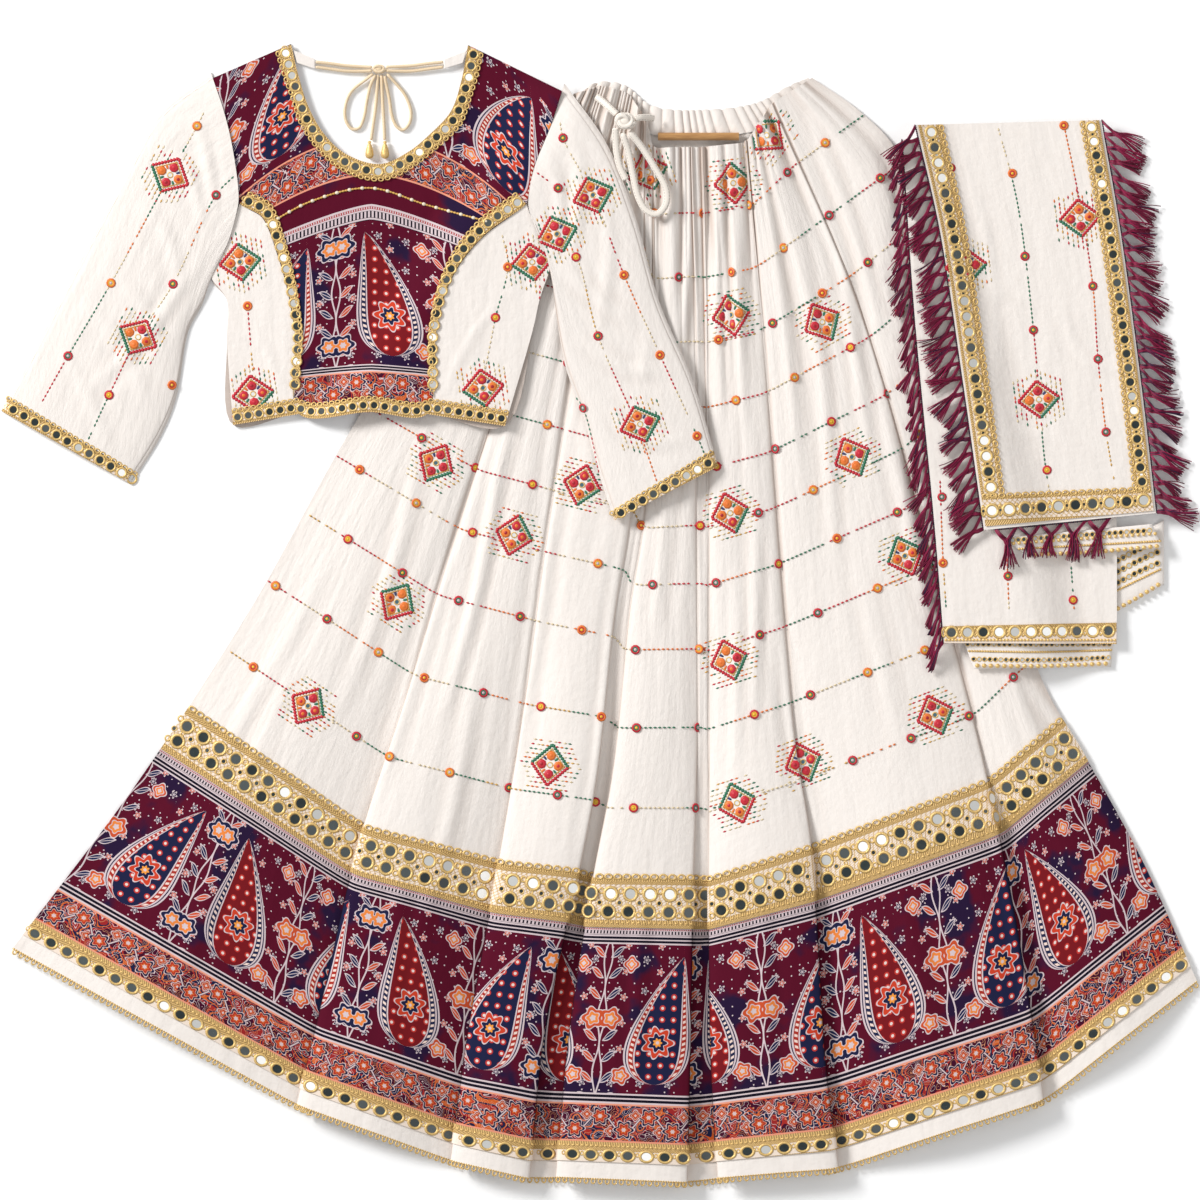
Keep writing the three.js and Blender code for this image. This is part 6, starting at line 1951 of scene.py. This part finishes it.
class MakeTies(bpy.types.Operator):
    """The neck ties with their knot and tassels, and the drawstring"""

    bl_idname = "lehenga.ties"
    bl_label = "Ties"

    def execute(self, context):
        made = finishes()
        for side, tie in NECK_TIES.items():
            self.tab(side, tie["tab"], made["cotton"])
        knot = self.knot("neck_knot", (379, 69, 4), (13, 9, 7), made["cord"], "neck_cord", "neck_tie_knot")
        used = False
        for side, tie in NECK_TIES.items():
            tassel = self.tassel(side, tie["tassel"], made["gold"])
            for run in ("upper", "lower", "loop", "tail"):
                path = at_length(plan(tie[run]), np.linspace(0, 1, 60))[0]
                extra = [tassel] if run == "tail" else ([] if used else [knot])
                used = used or run != "tail"
                self.cord(f"neck_cord_{side}_{run}", path, CORD, f"neck_tie_{side}_{run}", made["cord"], "neck_cord",
                          "fitting" if run == "tail" else "knot", extra)
        knot = self.knot("waist_knot", (625, 121, 21.6), (21, 17, 12.5), made["tape"], "drawstring_tape",
                         "drawstring_knot")
        paths = {run: at_length(plan(route), np.linspace(0, 1, 60))[0] for run, route in DRAWSTRING.items()}
        on_loop = [knot]
        for run in ("left_end", "right_end"):
            name = f"waist_tape_{run}"
            mesh = tube_mesh(name, paths[run], TAPE, 18, squash=0.5)
            on_loop.append(new_piece(name, mesh, [made["tape"]], [f"drawstring_{run}"]))
        for run, extra in (("loop", on_loop), ("tail", [])):
            self.cord(f"waist_tape_{run}", paths[run], TAPE, f"drawstring_{run}", made["tape"], "drawstring_tape",
                      "bare" if run == "tail" else "knot", extra)
        return {"FINISHED"}

    def cord(self, name, path, radius, node, material, slot, end, extra):
        mesh = tube_mesh(name, path, radius, 18, 3 if radius < 2 else 0, squash=1 if radius < 2 else 0.5)
        piece = new_piece(name, mesh, [material], [node])
        line = [tuple(p * MM) for p in path]

    def tab(self, side, corners, material):
        bm = bmesh.new()
        bottom = plan([(x, y, WALL + 1.0) for x, y in corners]) * MM
        face = bm.faces.new([bm.verts.new(p) for p in bottom])
        grown = bmesh.ops.extrude_face_region(bm, geom=[face])
        up = [g for g in grown["geom"] if isinstance(g, bmesh.types.BMVert)]
        bmesh.ops.translate(bm, verts=up, vec=(0, 0, 2.4 * MM))
        bmesh.ops.recalc_face_normals(bm, faces=bm.faces)
        bmesh.ops.bevel(bm, geom=bm.edges[:], offset=0.7 * MM, segments=2, profile=0.5, affect="EDGES", material=-1)
        flat_uv(bm)
        name = f"neck_tab_{side}"
        new_piece(name, mesh_of(bm, name), [material], [f"neck_tie_tab_{side}"])

    def knot(self, name, centre, size, material, slot, node):
        """A knot: a cord wound three times round its own middle."""
        t = np.linspace(0, 2 * np.pi * 3, 150)
        place = plan([centre])[0]
        wide, deep, high = size
        thin = deep * 0.17
        x = (wide / 2 - thin) * np.cos(t) * 0.75 + (t / t[-1] - 0.5) * wide * 0.3
        y = (deep / 2 - thin) * np.sin(t)
        z = (high / 2 - thin) * np.sin(t * 2 / 3 + 0.6)
        path = np.stack([x, y, z], axis=1) + place
        mesh = tube_mesh(name, path, thin, 14)
        core = bmesh.new()
        core.from_mesh(mesh)
        stretch = Matrix.Diagonal((*(part * 0.8 * MM for part in size), 1))
        bmesh.ops.create_uvsphere(core, u_segments=20, v_segments=12, radius=0.5,
                                  matrix=Matrix.Translation(place * MM) @ stretch)
        core.to_mesh(mesh)
        core.free()
        smooth(mesh)
        return new_piece(name, mesh, [material], [node])

    def tassel(self, side, top, material):
        """A metal-thread tassel: a bound head and a skirt of threads that lies on the floor."""
        place = plan([top])[0]
        bm = bmesh.new()
        for radius, down in TASSEL:
            ring = bmesh.ops.create_circle(bm, segments=28, radius=radius * MM)["verts"]
            for k, vert in enumerate(ring):
                if down > 4:
                    grow = 1 + 0.12 * (k % 2)
                    vert.co.x *= grow
                    vert.co.y *= grow
                vert.co = Vector((vert.co.x, -down * MM, vert.co.y))
        bmesh.ops.bridge_loops(bm, edges=bm.edges[:])
        bmesh.ops.holes_fill(bm, edges=[e for e in bm.edges if e.is_boundary])
        bmesh.ops.translate(bm, verts=bm.verts, vec=place * MM)
        bmesh.ops.recalc_face_normals(bm, faces=bm.faces)
        name = f"neck_tassel_{side}"
        mesh = mesh_of(bm, name)
        smooth(mesh)
        return new_piece(name, mesh, [material], [f"neck_tie_tassel_{side}"])


# The two lights: place, size and power. The camera's height over the floor, and the width that it sees.
LIGHTS = {"key": ((-7.0, 4.8, 4.6), 2.5, 1080), "fill": ((1.9, -0.6, 2.2), 2.2, 14)}
WORLD_LIGHT, EYE_HEIGHT, VIEW_WIDTH, FLOOR_LEVEL = 0.5, 2.5, 1.2, -0.0005


class SetStage(bpy.types.Operator):
    """The pale floor, the soft light and the camera straight above"""

    bl_idname = "lehenga.stage"
    bl_label = "Stage"

    def execute(self, context):
        bm = bmesh.new()
        bmesh.ops.create_grid(bm, x_segments=1, y_segments=1, size=6)
        mesh = mesh_of(bm, "floor")
        floor = bpy.data.objects.new("floor", mesh)
        context.scene.collection.objects.link(floor)
        s = Shader("Pale floor")
        s.fix(Base_Color=(0.96, 0.96, 0.96), Roughness=0.9, Specular_IOR_Level=0.1)
        mesh.materials.append(s.material)
        floor.location = (0, 0, FLOOR_LEVEL)
        world = bpy.data.worlds.new("studio")
        context.scene.world = world
        world.use_nodes = True
        colour, strength = world.node_tree.nodes["Background"].inputs[:2]
        colour.default_value = (1, 1, 1, 1)
        strength.default_value = WORLD_LIGHT
        for name, (place, size, power) in LIGHTS.items():
            light = bpy.data.lights.new(name, "AREA")
            light.size = size
            light.energy = power
            lamp = bpy.data.objects.new(name, light)
            lamp.location = place
            lamp.rotation_euler = Vector(place).to_track_quat("Z", "Y").to_euler()
            context.scene.collection.objects.link(lamp)
        camera = bpy.data.cameras.new("camera")
        camera.type = "ORTHO"
        camera.ortho_scale = VIEW_WIDTH
        camera.clip_end = 10
        eye = bpy.data.objects.new("camera", camera)
        eye.location = ((600 - SHEET[0]) * MM, (SHEET[1] - 600) * MM, EYE_HEIGHT)
        context.scene.collection.objects.link(eye)
        context.scene.camera = eye
        context.scene.view_settings.view_transform = "Standard"
        return {"FINISHED"}


class LehengaPanel(bpy.types.Panel):
    """The set's pieces in the sidebar"""

    bl_idname = "VIEW3D_PT_lehenga"
    bl_label = "Lehenga choli"
    bl_space_type = "VIEW_3D"
    bl_region_type = "UI"
    bl_category = "Lehenga"

    def draw(self, context):
        for key in ("threads", "white", "gold"):
            self.layout.prop(context.scene.set_sizes, key)
        for step in STEPS:
            self.layout.operator(step.bl_idname)


STEPS = (SetStage, MakeTies, MakeSkirtFront, StitchSkirt, MakeSkirtBack, MakeBlouse, StitchBlouse, MakeStole,
         StitchStole, MakeFringe, MakeBar)
CLASSES = (SetSizes, *STEPS, LehengaPanel)


def register():
    for one in CLASSES:
        bpy.utils.register_class(one)
    bpy.types.Scene.set_sizes = PointerProperty(type=SetSizes)


def unregister():
    del bpy.types.Scene.set_sizes
    for one in reversed(CLASSES):
        bpy.utils.unregister_class(one)


def main():
    register()
    for step in STEPS:
        group, name = step.bl_idname.split(".")
        getattr(getattr(bpy.ops, group), name)()


if __name__ == "__main__":
    main()
